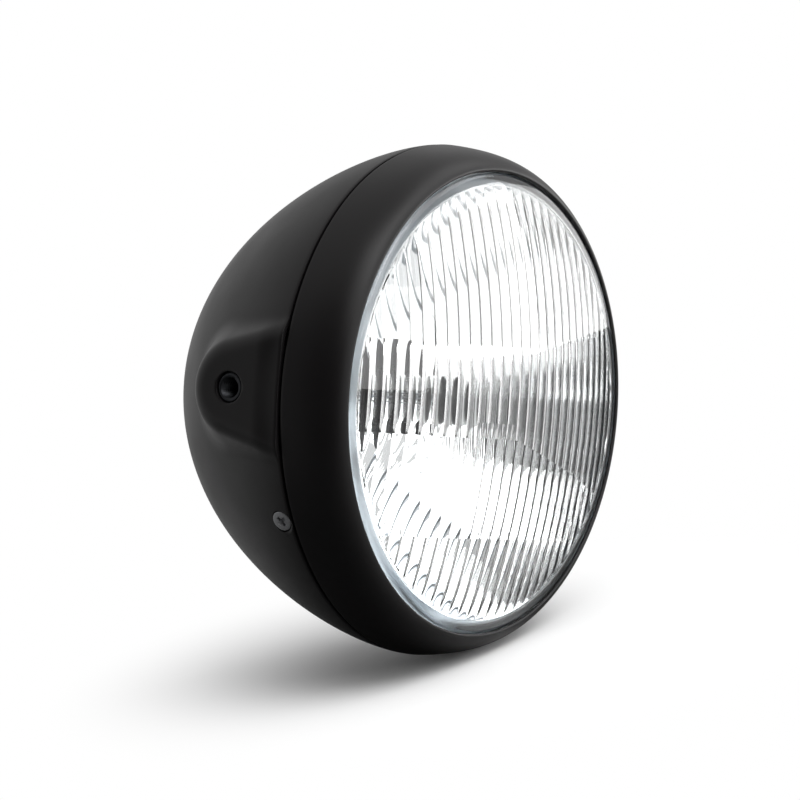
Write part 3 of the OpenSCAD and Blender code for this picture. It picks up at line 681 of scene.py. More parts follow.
@dataclass(frozen=True)
class BulbGlass:
    """Drawn quartz glass with its tip dipped in black heat-proof lacquer.

    The lacquer stops the light that would leave straight ahead. The mirror and the
    flutes spread its image into black stripes.

    Attributes:
        name: Name of the glass and its process.
        tint: Colour of the clear glass.
        lacquer: Colour of the tip.
        ior: Index of refraction.
        gloss: Roughness of the lacquer.
        tip_y: Where the lacquer ends, in millimetres from the seam.
        edge_mm: Width of its edge.
        drip_mm: How far the dipped edge wanders.
        drip_scale: Drips a metre.
    """

    name: str = "drawn_quartz_glass_with_lacquered_tip"
    tint: str = "#fdfefe"
    lacquer: str = "#0b0b0c"
    ior: float = 1.46
    gloss: float = 0.4
    tip_y: float = 12.9
    edge_mm: float = 0.3
    drip_mm: float = 1.2
    drip_scale: float = 260.0

    def material(self) -> Material:
        """Builds the glass and its lacquer."""
        material, tree, place = new_material(self.name)
        drip = noise(tree, place, self.drip_scale, 1.0)
        edge = calc(tree, "MULTIPLY_ADD", drip, self.drip_mm * MM, place_y(tree, place))
        bare = ramp(tree, edge, (bowl_y(self.tip_y), bowl_y(self.tip_y + self.edge_mm)))
        look = {
            "Base Color": mix(tree, bare, linear(self.lacquer), linear(self.tint)),
            "Roughness": ramp(tree, bare, (0.0, 1.0), (self.gloss, 0.0)),
            "IOR": self.ior,
            "Transmission Weight": bare,
        }
        finish_surface(tree, look)
        return material


@dataclass(frozen=True)
class Metal:
    """A bare or plated metal, with fine grain from rolling, drawing or plating.

    Attributes:
        name: Name of the metal and its process.
        color: Reflected colour, light parts.
        shade: Reflected colour of the darker grain.
        roughness: Mean roughness.
        grain_mm: Size of the grain that the roughness follows.
        stretch: How much longer the grain is along Y than across.
        spread: Parts of the mean roughness between which the grain takes it.
        span: Grey values of the grain where it reaches them.
    """

    name: str
    color: str
    shade: str
    roughness: float = 0.25
    grain_mm: float = 1.5
    stretch: float = 1.0
    spread: Point = (0.8, 1.25)
    span: Point = (0.25, 0.75)

    def material(self) -> Material:
        """Builds the metal."""
        material, tree, place = new_material(self.name)
        inputs = {"Vector": place, "Scale": (1.0, 1 / self.stretch, 1.0)}
        drawn = give(tree, "ShaderNodeMapping", "Vector", inputs)
        grain = noise(tree, drawn, 1 / (self.grain_mm * MM), 3.0, 0.6)
        smoothest, roughest = (self.roughness * part for part in self.spread)
        look = {
            "Base Color": mix(tree, grain, linear(self.color), linear(self.shade)),
            "Roughness": ramp(tree, grain, self.span, (smoothest, roughest)),
            "Metallic": 1.0,
        }
        finish_surface(tree, look)
        return material


@dataclass(frozen=True)
class Moulding:
    """A moulded rubber or plastic with the fine matt grain of its mould.

    Attributes:
        name: Name of the stuff and its process.
        color: Its colour.
        roughness: Mean roughness.
        grain_mm: Size of the grain.
        grain_height_mm: Its height.
        spread: How far the roughness goes to each side of its mean.
    """

    name: str
    color: str
    roughness: float = 0.6
    grain_mm: float = 0.5
    grain_height_mm: float = 0.02
    spread: float = 0.06

    def material(self) -> Material:
        """Builds the moulding."""
        material, tree, place = new_material(self.name)
        grain = noise(tree, place, 1 / (self.grain_mm * MM), 2.0)
        ends = (self.roughness - self.spread, self.roughness + self.spread)
        look = {
            "Base Color": linear(self.color),
            "Roughness": ramp(tree, grain, NOISE_SPAN, ends),
            "Normal": bump(tree, grain, 0.4, self.grain_height_mm),
        }
        finish_surface(tree, look)
        return material


@dataclass(frozen=True)
class Finishes:
    """Every material of the lamp, by the slot it belongs to."""

    made: dict[Slot, Material] = field(default_factory=dict)

    def build(self) -> None:
        """Builds all materials."""
        recipes = {
            Slot.PAINT: PowderCoat(),
            Slot.LENS: PressedGlass(),
            # Aluminium vapour on lacquered steel: the brightest mirror in the lamp
            Slot.MIRROR: Metal("vapour_deposited_aluminium", "#fafafa", "#f3f4f5", 0.03, 9.0),
            # Clear silicone that bonds glass and reflector, milky where it is thick
            Slot.SEALANT: Moulding("clear_cast_silicone", "#cfd4d6", 0.4, 1.2, 0.02),
            Slot.RUBBER: Moulding("moulded_epdm_rubber", "#191919", 0.62),
            # Zinc-phosphate black, dark and dry
            Slot.BLACK_STEEL: Metal("black_phosphated_steel", "#36373a", "#2a2b2d", 0.4, 0.8),
            Slot.ZINC: Metal("bright_zinc_plated_steel", "#c2c4c6", "#a9acaf", 0.28, 1.2),
            Slot.SPRING: Metal("tempered_spring_steel", "#9b9da0", "#84878b", 0.24, 0.9, 6.0),
            # Steel of the bulb base coloured near black as painted shade, so that a black hole
            # shows behind the flutes
            Slot.BULB_METAL: Metal("painted_dark_bulb_base_steel", "#232325", "#1a1b1c", 0.42, 1.4),
            Slot.BULB_GLASS: BulbGlass(),
            Slot.PLASTIC: Moulding("phenolic_moulding", "#1d1e20", 0.5, 0.35, 0.015),
            Slot.BRASS: Metal("rolled_brass_strip", "#d9b566", "#bf9a4e", 0.26, 0.8, 5.0),
            Slot.WIRE: Metal("drawn_tungsten_wire", "#8e9094", "#797b80", 0.35, 0.3, 4.0),
        }
        for slot, recipe in recipes.items():
            self.made[slot] = recipe.material()

    def dress(self, piece: Piece, slot: Slot, *nodes: str) -> Piece:
        """Gives a new piece the material of its slot and its body, and hides the CAD nodes that it
        replaces.

        Args:
            piece: The piece.
            slot: Its material slot.
            *nodes: The CAD nodes that it stands for.

        Returns:
            The same piece.
        """
        piece.data.materials.clear()
        piece.data.materials.append(self.made[slot])
        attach(piece, ROOT)
        if nodes:
            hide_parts(*nodes)
        log.info("%s: %d faces", piece.name, len(piece.data.polygons))
        return piece

    def dress_nodes(self) -> None:
        """Gives every CAD node that stays the material of its own slot."""
        by_value = {slot.value: slot for slot in Slot}
        for part in frame["record"]["subparts"]:
            material = self.made[by_value[part["material_slot"]]]
            for holder in frame["nodes"][part["node"]].material_slots:
                holder.material = material


@dataclass
class Bowl:
    """The pressed bowl with its two side pads and what is fixed in them.

    Attributes:
        pad_crest: Radius of the rounding round a pad's flat.
        pad_slope: Degrees by which the pad falls off beyond it.
        pad_inset: How far inside the flat's edge the rounding begins.
        pad_sink: How far the pad's front end lies below its flat.
        pad_sink_run: Length over which it sinks, and where that begins.
        pad_blend: Width of the fillet between pad and bowl.
        pad_reach: Degrees round X within which a pad can lie.
        pad_end: Distance behind the seam beyond which none lies.
        pad_steps: Steps in which a pad's radius is found.
        pad_limits: Radii between which it lies.
    """

    radius: float = 93.4
    length: float = 96.0
    wall: float = 2.0
    flank: float = 1.44
    nose: float = 2.16
    nose_flat: float = 17.0
    cable_hole: float = 11.0
    front: float = 0.5
    bolt_setback: float = 22.0
    pad_face: float = 94.5
    pad_radius: float = 12.6
    pad_front_half: float = 18.6
    pad_crest: float = 7.5
    pad_slope: float = 57.0
    pad_inset: float = 1.2
    pad_sink: float = 1.15
    pad_sink_run: float = 11.0
    pad_blend: float = 2.6
    pad_reach: float = 24.0
    pad_end: float = 62.0
    pad_steps: int = 14
    pad_limits: Point = (40.0, 110.0)
    bush_hole: float = 5.6
    screw_setback: float = 5.8
    screw_angles: Point = (-30.0, -150.0)

    def radius_at(self, y: np.ndarray) -> np.ndarray:
        """Outer radius at a distance behind the seam."""
        part = np.clip(np.asarray(y, dtype=float) / self.length, 0, 1)
        return self.radius * (1 - part**self.flank) ** (1 / self.nose)

    def nose_y(self) -> float:
        """Distance of the nose flat behind the seam."""
        rest = 1 - (self.nose_flat / self.radius) ** self.nose
        return self.length * rest ** (1 / self.flank)

    def bolt_place(self, side: Side) -> Matrix:
        """Matrix whose local Z runs out along a side's bolt axis."""
        return radial_place(0 if side is Side.RIGHT else 180, self.bolt_setback)

    def pad_edge(self, u: np.ndarray, z: np.ndarray) -> np.ndarray:
        """Signed distance outside the pad's flat, in the pad's own plane.

        Args:
            u: Place behind the bolt axis.
            z: Place above it.

        Returns:
            Distance, negative inside the flat.
        """
        z = np.abs(z)
        tilt = math.asin((self.pad_front_half - self.pad_radius) / self.bolt_setback)
        side = z * math.cos(tilt) + u * math.sin(tilt) - self.pad_radius
        round_end = np.hypot(u, z) - self.pad_radius
        along = -u * math.cos(tilt) + z * math.sin(tilt)
        return np.where(along > 0, side, round_end)

    def pad_height(self, u: np.ndarray, z: np.ndarray) -> np.ndarray:
        """Distance of the pad's surface from the lamp's middle plane.

        Args:
            u: Place behind the bolt axis.
            z: Place above it.

        Returns:
            The pad's X, which falls off round its flat.
        """
        crest, slope, run = self.pad_crest, math.radians(self.pad_slope), self.pad_sink_run
        face = self.pad_face - self.pad_sink * smooth_step((-u - run) / run)
        d = np.maximum(self.pad_edge(u, z) + self.pad_inset, 0)
        turn = crest * math.sin(slope)
        rounded = crest - np.sqrt(np.maximum(crest**2 - np.minimum(d, turn) ** 2, 0))
        return face - rounded - np.maximum(d - turn, 0) * math.tan(slope)

    def outer_radius(self, angles: np.ndarray, y: float) -> np.ndarray:
        """Radius of the outer skin with its pads round one station.

        Args:
            angles: Radians from +X towards +Z.
            y: Distance behind the seam.

        Returns:
            The radius at each angle.
        """
        base = np.full(len(angles), float(self.radius_at(y)))
        folded = np.arctan2(np.sin(angles), np.abs(np.cos(angles)))
        near = np.abs(folded) < math.radians(self.pad_reach)
        if y > self.pad_end or not near.any():
            return base
        a = folded[near]
        r = base[near].copy()
        # The pad's height is given over its own plane, so its radius is found in steps
        for _ in range(self.pad_steps):
            r = self.pad_height(np.full(len(a), y - self.bolt_setback), r * np.sin(a)) / np.cos(a)
            r = np.clip(r, *self.pad_limits)
        base[near] = smooth_max(r, base[near], self.pad_blend)
        return base

    def shell(self) -> Piece:
        """Builds the bowl's skin, its inner face, holes and countersinks."""
        # Columns are close over the pads, and stations are close before the knee
        pad_half, knee = 21, 48
        fine = np.radians(np.arange(-pad_half, pad_half + 0.01, 0.6))
        rest = np.radians(np.linspace(pad_half, 180 - pad_half, 108)[1:-1])
        angles = np.concatenate([fine, rest, fine + math.pi, rest + math.pi])
        end = self.nose_y()
        turn = np.linspace(0, 1, 48)[1:] * math.pi / 2
        near = np.arange(self.front + 0.5, knee, 0.95)
        stations = np.concatenate([near, knee + (end - knee) * np.sin(turn)])
        first = self.outer_radius(angles, self.front)
        rings: list[tuple[Any, float]] = [
            (first - 0.5, self.front),
            (first - 0.15, self.front + 0.12),
        ]
        rings += [(self.outer_radius(angles, y), float(y)) for y in stations]
        inner_end = end - self.wall
        rings += [
            (self.cable_hole + 0.4, end),
            (self.cable_hole, end - 0.4),
            (self.cable_hole, inner_end),
        ]
        for y in inner_end * np.sin(np.linspace(1, 0, 26) * math.pi / 2):
            y = float(max(y, self.front))
            skin = self.outer_radius(angles, y + 0.6) - self.wall
            rings.append((np.maximum(skin, self.nose_flat - 0.8), y))
        points = np.vstack([ring_points(r, y, angles) for r, y in rings])
        piece = make_piece("bowl_skin", points, ring_faces(len(angles), len(rings)))
        cutters = [self.bush_cutter(side) for side in Side]
        cutters += [self.screw_cutter(angle) for angle in self.screw_angles]
        return boolean(piece, cutters)

    def bush_cutter(self, side: Side) -> Piece:
        """Cutter for the hole round a bush, with a softened edge."""
        face = self.pad_face
        profile = [
            (0, face - 12),
            (self.bush_hole, face - 12),
            (self.bush_hole, face - 0.45),
            (self.bush_hole + 0.14, face - 0.14),
            (self.bush_hole + 0.5, face + 0.02),
            (self.bush_hole + 0.9, face + 3),
            (0, face + 3),
        ]
        return plug("bush_cutter", profile, self.bolt_place(side), 72)

    def screw_cutter(self, angle: float) -> Piece:
        """Cutter for a countersunk rim screw hole."""
        top = float(self.radius_at(self.screw_setback))
        profile = [
            (0, top - 6),
            (2.15, top - 6),
            (2.15, top - 2.9),
            (4.25, top - 1.0),
            (4.25, top - 0.15),
            (4.5, top + 0.05),
            (5.2, top + 0.3),
            (5.2, top + 2),
            (0, top + 2),
        ]
        return plug("screw_cutter", profile, radial_place(angle, self.screw_setback))


@dataclass
class SideBush:
    """A threaded steel bush in a side pad."""

    bowl: Bowl
    outer: float = 5.2
    core: float = 3.4
    crest: float = 4.0
    pitch: float = 1.25
    recess: float = 0.8
    length: float = 15.0
    flange: float = 8.5
    flange_t: float = 2.5
    facets: int = 48

    def build(self, side: Side) -> Piece:
        """Builds the bush with its thread cut as a true helix.

        Args:
            side: Which side of the lamp.

        Returns:
            The piece.
        """
        face = self.bowl.pad_face
        mouth = face - self.recess
        foot = face - self.length
        under = face - self.bowl.wall - 0.1
        outline = [
            (self.core + 0.7, foot),
            (self.outer + 1.0, foot),
            (self.outer + 1.0, under - self.flange_t),
            (self.flange, under - self.flange_t),
            (self.flange, under),
            (self.outer, under),
            (self.outer, mouth - 0.3),
            (self.outer - 0.12, mouth - 0.08),
            (self.outer - 0.35, mouth),
            (self.crest + 0.35, mouth),
            (self.crest + 0.1, mouth - 0.12),
        ]
        depth = np.arange(mouth - 0.4, foot + 0.2, -self.pitch / 8)
        rays = []
        for i in range(self.facets):
            phase = i / self.facets
            wave = np.abs(((depth / self.pitch + phase) % 1.0) * 2 - 1)
            thread = np.stack([self.core + (self.crest - self.core) * wave, depth], axis=1)
            r, h = np.vstack([outline, thread]).T
            a = 2 * math.pi * phase
            rays.append(np.stack([r * math.cos(a), r * math.sin(a), h], axis=1))
        grid = np.array(rays).transpose(1, 0, 2)
        local = grid.reshape(-1, 3) * MM
        faces = ring_faces(self.facets, len(grid))
        name = f"{side.name.lower()}_bush_threaded"
        return make_piece(name, moved(local, self.bowl.bolt_place(side)), faces, 50)


@dataclass
class Rim:
    """The rim with its rolled lip and spigot."""

    bowl: Bowl
    depth: float = 23.9
    opening: float = 84.0
    wall: float = 1.4
    gap: float = 0.5
    spigot: float = 9.0

    def skin(self) -> list[Point]:
        """Outer profile from the seam to the lip."""
        r = self.bowl.radius
        return bezier(
            [
                (r + 0.1, -self.gap),
                (r - 0.8, -self.depth * 0.42),
                (r - 2.5, -self.depth * 0.9),
                (self.opening + 0.9, -self.depth),
            ],
            44,
        )

    def build(self) -> Piece:
        """Builds the rim."""
        skin = self.skin()
        inner = offset_path(skin, -self.wall)
        step = -self.gap - self.wall
        front_r = float(self.bowl.radius_at(self.gap)) - self.bowl.wall * 1.02 - 0.3
        end_r = float(self.bowl.radius_at(self.spigot)) - self.bowl.wall * 1.02 - 0.3
        seam_r = skin[0][0]
        profile = [(seam_r - 0.7, -self.gap), (seam_r - 0.36, -self.gap - 0.05)]
        profile.append((seam_r - 0.1, -self.gap - 0.26))
        profile += skin[1:]
        profile += arc((self.opening + 0.8, -self.depth + 0.8), 0.8, 262, 180, 8)
        profile.append((self.opening, -self.depth + self.wall))
        kept = [p for p in reversed(inner[1:]) if p[0] > self.opening + 1.2]
        profile += kept
        profile += [
            (inner[0][0], step),
            (front_r - 1.2, step),
            (end_r - 1.2, self.spigot),
            (end_r, self.spigot),
            (front_r, -self.gap),
        ]
        return make_piece("rim_skin", *lathe(profile, even_angles(320)))


@dataclass
class FlutedGlass:
    """The domed glass, with vertical flutes in zones on its inner face.

    Attributes:
        steps: Steps over one flute.
        rows: Rows of each zone, from the foot up.
        top, middle, low, foot, half_field: Height of the flutes in each zone.
        widest: Number of the zone that runs through the whole width.
        edge_soft: Width over which the flutes rise from the circle's edge.
    """

    rim: Rim
    sphere: float = 240.0
    crown: float = 16.5
    thickness: float = 4.0
    zone_r: float = 77.8
    pitch: float = 5.7
    steps: int = 12
    rows: tuple[int, ...] = (10, 12, 4, 9, 16)
    top: float = 0.45
    middle: float = 0.85
    low: float = 0.35
    foot: float = 0.6
    half_field: float = 0.4
    band_top: float = 20.5
    band_low: float = 12.5
    band_kink: float = 15.0
    band_rise: float = 8.0
    band_fall: float = 15.0
    foot_edge: float = 48.5
    field_flutes: int = 4
    field_height: float = 5.5
    neck_gap: float = 0.35
    widest: int = 3
    edge_soft: float = 0.9

    def lip(self) -> float:
        """Place of the rim's lip plane."""
        return -self.rim.depth + self.rim.wall

    def front(self) -> float:
        """Place of the glass's apex."""
        return self.lip() - self.crown

    def sag(self, radius: float, r: float) -> float:
        """Sag of a sphere at a radius from the lamp axis."""
        return float(radius - np.sqrt(radius**2 - r**2))

    def edges(self, x: float) -> list[float]:
        """Lower edges of the zones and the top's end at a place across.

        Args:
            x: Place across the lamp.

        Returns:
            Six heights from the foot upwards, held within the fluted circle.
        """
        end = math.sqrt(max(0.0, self.zone_r**2 - x * x))
        fall = max(0.0, x) * math.tan(math.radians(self.band_fall))
        rise = max(0.0, x - self.band_kink) * math.tan(math.radians(self.band_rise))
        cuts = [
            -end,
            -self.foot_edge,
            -self.band_low - fall,
            self.field_height - self.band_low - fall,
            self.band_top + rise,
            end,
        ]
        return [min(max(c, -end), end) for c in cuts]

    def flute(self, flute: int, u: float, zone: int) -> float:
        """Height of the flutes at a place.

        Args:
            flute: Number of the flute.
            u: Place through it, from 0 to 1.
            zone: Number of the zone, from the foot up.

        Returns:
            Height above the smooth inner face.
        """
        in_field = zone == 2 and -self.field_flutes <= flute < 0
        if in_field:
            u = (2 * u) % 1.0
        band = self.half_field if in_field else self.middle
        heights = (self.foot, self.low, band, self.middle, self.top)
        return heights[zone] * (1 - (2 * u - 1) ** 2)

    def columns(self) -> list[tuple[float, int, float]]:
        """Columns across the glass: place, flute number and place through it."""
        count = math.ceil(self.zone_r / self.pitch)
        out = []
        for k in range(-count, count):
            a = math.acos(max(-1.0, k * self.pitch / self.zone_r))
            b = math.acos(min(1.0, (k + 1) * self.pitch / self.zone_r))
            for j in range(self.steps):
                x = self.zone_r * math.cos(a + (b - a) * j / self.steps)
                out.append((x, k, min(max(x / self.pitch - k, 0.0), 1.0)))
        out.append((self.zone_r, count - 1, self.zone_r / self.pitch - count + 1))
        return out

    def inner_grid(self) -> tuple[list[Point3], list[list[int]]]:
        """Samples the fluted inner face in columns.

        Returns:
            Points in metres, and the numbers of each column's points from the foot
            up. A number is repeated where two samples share a place.
        """
        same_height, same_place = 1e-9, 1e-8
        inner_sphere = self.sphere - self.thickness
        inner_apex = self.front() + self.thickness
        points: list[Point3] = []
        number: list[list[int]] = []
        for x, k, u in self.columns():
            edges = self.edges(x)
            column: list[int] = []
            last: Optional[Point3] = None
            for zone, count in enumerate(self.rows):
                # A zone without height takes the flutes of the next one that has some
                live = zone
                while edges[live + 1] - edges[live] < same_height and live != self.widest:
                    live += 1 if live < self.widest else -1
                for j in range(count + 1):
                    z = edges[zone] + (edges[zone + 1] - edges[zone]) * j / count
                    far = math.hypot(x, z)
                    soft = min(1.0, max(0.0, self.zone_r - far) / self.edge_soft)
                    rise = self.flute(k, u, live) * math.sqrt(1 - (1 - soft) ** 2)
                    y = inner_apex + self.sag(inner_sphere, far) + rise
                    here = (x * MM, bowl_y(y), z * MM)
                    if last is None or max(abs(p - q) for p, q in zip(here, last)) >= same_place:
                        points.append(here)
                        last = here
                    column.append(len(points) - 1)
            number.append(column)
        return points, number

    def build(self) -> Piece:
        """Builds the glass as one closed mesh."""
        points, number = self.inner_grid()
        faces: Faces = []
        for left, right in zip(number, number[1:]):
            for j in range(len(left) - 1):
                quad = [left[j], left[j + 1], right[j + 1], right[j]]
                kept = [v for i, v in enumerate(quad) if v != quad[i - 1]]
                if len(kept) > 2:
                    faces.append(tuple(kept))
        ring = [column[0] for column in number]
        ring += [column[-1] for column in reversed(number[1:-1])]
        angles = np.array([math.atan2(points[v][2], points[v][0]) for v in ring])
        *profile, apex = self.outline()
        base, n, m = len(points), len(ring), len(profile)
        outside = [ring_points(r, y, angles) for r, y in profile]
        last = base + (m - 1) * n
        for i in range(n):
            g = (i + 1) % n
            faces.append((ring[i], ring[g], base + g, base + i))
            faces.append((last + i, last + g, last + n))
        faces += ring_faces(n, m, closed=False, first=base)
        spots = np.vstack([points, *outside, [[0.0, bowl_y(apex[1]), 0.0]]])
        return make_piece("fluted_glass", spots, faces, 22)

    def outline(self) -> list[Point]:
        """Profile from the fluted circle round the edge to the apex."""
        dome_r = self.zone_r + 0.2
        lip = self.lip()
        neck = self.rim.opening - self.neck_gap
        step, rear = -20.5, -17.2
        flange = self.rim.opening + 2.6
        inner = self.sag(self.sphere - self.thickness, self.zone_r)
        band = self.front() + self.thickness + inner
        dome = self.front() + self.sag(self.sphere, dome_r)
        slope = dome_r / math.sqrt(self.sphere**2 - dome_r**2)
        inside = [(self.zone_r + 0.15, band), (80.2, band + 0.4), (81.4, rear - 2.6)]
        inside = bezier(inside + [(flange - 4.0, rear)], 9)
        shoulder = [(neck, lip + 0.5), (neck, lip - 1.7), (dome_r + 2.8, dome + 2.8 * slope)]
        shoulder = bezier(shoulder + [(dome_r, dome)], 12)
        edge = [(flange - 0.3, rear), (flange, rear - 0.3), (flange, step + 0.4)]
        edge += [(flange - 0.4, step), (neck + 0.3, step), (neck, step - 0.3)]
        rings = [self.zone_r * t for t in np.linspace(1, 0, 24)]
        outer = [(float(r), self.front() + self.sag(self.sphere, r)) for r in rings]
        return inside + edge + shoulder + outer


@dataclass
class Reflector:
    """The parabolic reflector with its flange and rear collar."""

    mouth: float = 80.5
    focal: float = 24.955
    flange_y: float = -16.6
    wall: float = 1.0
    neck: float = 20.0
    flange: float = 87.7
    upstand: float = 0.9
    collar: float = 31.0
    collar_wall: float = 1.2
    collar_end: float = 50.61

    def mirror_y(self, r: float) -> float:
        """Place of the mirror at a radius."""
        vertex = self.flange_y + self.mouth**2 / (4 * self.focal)
        return vertex - r * r / (4 * self.focal)

    def build(self) -> Piece:
        """Builds the reflector, with its collar brazed on as one closed mesh."""
        mirror = [(float(r), self.mirror_y(r)) for r in np.linspace(self.mouth, self.neck, 72)]
        back = list(reversed(offset_path(mirror, -self.wall)[1:]))
        outside = [p for p in back if p[0] > self.collar + 0.4]
        inside = [p for p in back if p[0] < self.collar - self.collar_wall - 0.4]
        foot = self.mirror_y(self.collar) + 0.7
        profile = mirror + inside
        profile += [
            (self.collar - self.collar_wall, foot),
            (self.collar - self.collar_wall, self.collar_end),
            (self.collar, self.collar_end),
            (self.collar, foot),
        ]
        profile += outside
        rear = self.flange_y + self.wall
        profile += [
            (back[-1][0] + 0.5, rear),
            (self.flange - 0.3, rear),
            (self.flange, rear - 0.3),
            (self.flange, self.flange_y - 1.8),
            (self.flange - 0.2, self.flange_y - 2),
            (self.flange - self.upstand, self.flange_y - 2),
            (self.flange - self.upstand, self.flange_y),
            (self.mouth + 0.6, self.flange_y),
            (self.mouth + 0.15, self.flange_y + 0.1),
        ]
        return make_piece("reflector_skin", *lathe(profile, even_angles(288)), 40)


@dataclass
class RimScrew:
    """Countersunk cross-head screw of the rim.

    Attributes:
        recess_l: Half the length of one arm pair of the cross at its top.
        recess_w: Half its width.
        recess_deep: Depth of the cross.
        recess_turns: Degrees by which the two arm pairs are turned.
    """

    bowl: Bowl
    head: float = 3.75
    shank: float = 2.0
    length: float = 11.0
    recess_l: float = 2.45
    recess_w: float = 0.7
    recess_deep: float = 1.6
    recess_turns: Point = (38.0, 128.0)

    def build(self, angle: float, name: str) -> Piece:
        """Builds a screw with a tapered cross recess.

        Args:
            angle: Degrees from +X towards +Z.
            name: Name of the piece.

        Returns:
            The piece.
        """
        top = float(self.bowl.radius_at(self.bowl.screw_setback)) - 0.35
        foot = top + 0.35 - self.length
        profile = [
            (0, foot),
            (self.shank - 0.4, foot),
            (self.shank, foot + 0.4),
            (self.shank, top - 1.9),
            (self.head - 0.02, top - 0.22),
            (self.head, top - 0.12),
            (self.head - 0.1, top - 0.02),
            (self.head - 0.35, top + 0.03),
            (self.head * 0.5, top + 0.16),
            (0, top + 0.2),
        ]
        place = radial_place(angle, self.bowl.screw_setback)
        screw = plug(name, profile, place)
        # Half length, half width and height of the recess at its floor and its top
        levels = (
            (self.recess_l * 0.45, self.recess_w * 0.7, top - self.recess_deep),
            (self.recess_l, self.recess_w, top + 0.5),
        )
        corners = ((-1, -1), (1, -1), (1, 1), (-1, 1))
        block = [(x * a * MM, y * b * MM, h * MM) for a, b, h in levels for x, y in corners]
        faces = [(3, 2, 1, 0), (4, 5, 6, 7)] + ring_faces(4, 2, closed=False)
        cutters = []
        for turn in self.recess_turns:
            spin = Matrix.Rotation(math.radians(turn), 4, "Z")
            cutters.append(make_piece("cross_cutter", moved(np.array(block), place @ spin), faces))
        return boolean(screw, cutters)


@dataclass
class UnitClips:
    """The five bent spring strips that hold the light unit in the rim."""

    count: int = 5
    first_angle: float = 90.0
    outer: float = 90.42
    top: float = -2.35
    foot: float = -15.15
    width: float = 12.0
    thickness: float = 0.8
    bend: float = 0.75
    edge: float = 0.12

    def line(self) -> list[Point3]:
        """Centre line of the strip on the +X side, in metres."""
        r, top, foot = self.outer, self.top, self.foot
        bends = [
            (r, top - (top - foot) / 4),
            (r, top),
            (r - 2 * self.thickness, top),
            (r - 5.5 * self.thickness, (top + foot) / 2),
            (r - 8 * self.thickness, foot),
            (r - 5 * self.thickness, foot),
        ]
        return [(x * MM, bowl_y(y), 0.0) for x, y in bends]

    def tree(self, material: Material) -> Tree:
        """Builds the tree that bends a strip along a line and turns it to its place."""
        sizes = {
            "Angle": 0.0,
            "Width": self.width * MM,
            "Thickness": self.thickness * MM,
            "Bend radius": self.bend * MM,
            "Edge radius": self.edge * MM,
        }
        tree, given = geometry_tree("bent_spring_strip", sizes, material)

        def fillet(curve: Socket, count: int, size: str, limit: bool) -> Socket:
            """Rounds a curve's corners by a given radius, held by their room or not."""
            inputs = {"Curve": curve, "Count": count, "Radius": given[size]}
            inputs["Limit Radius"] = limit
            return give(tree, "GeometryNodeFilletCurve", "Curve", inputs, mode="POLY")

        drawn = give(tree, "GeometryNodeMeshToCurve", "Curve", {"Mesh": given["Geometry"]})
        bent = fillet(drawn, 6, "Bend radius", True)
        upright = give(tree, "GeometryNodeSetCurveNormal", "Curve", {"Curve": bent}, mode="Z_UP")
        inputs = {"Width": given["Thickness"], "Height": given["Width"]}
        section = give(tree, "GeometryNodeCurvePrimitiveQuadrilateral", "Curve", inputs)
        edge = fillet(section, 2, "Edge radius", False)
        inputs = {"Curve": upright, "Profile Curve": edge, "Fill Caps": True}
        strip = give(tree, "GeometryNodeCurveToMesh", "Mesh", inputs)
        spin = give(tree, "ShaderNodeCombineXYZ", "Vector", {"Y": given["Angle"]})
        inputs = {"Geometry": strip, "Rotation": spin}
        close_tree(tree, given, give(tree, "GeometryNodeTransform", "Geometry", inputs))
        return tree

    def build(self, material: Material) -> list[Piece]:
        """Builds the clips round the rim.

        Args:
            material: The spring steel.

        Returns:
            The clips in their nodes' order.
        """
        tree = self.tree(material)
        pieces = []
        for i in range(self.count):
            angle = -math.radians(self.first_angle + i * 360 / self.count)
            pieces.append(grow(f"bent_clip_{i + 1}", [self.line()], tree, {"Angle": angle}))
        return pieces


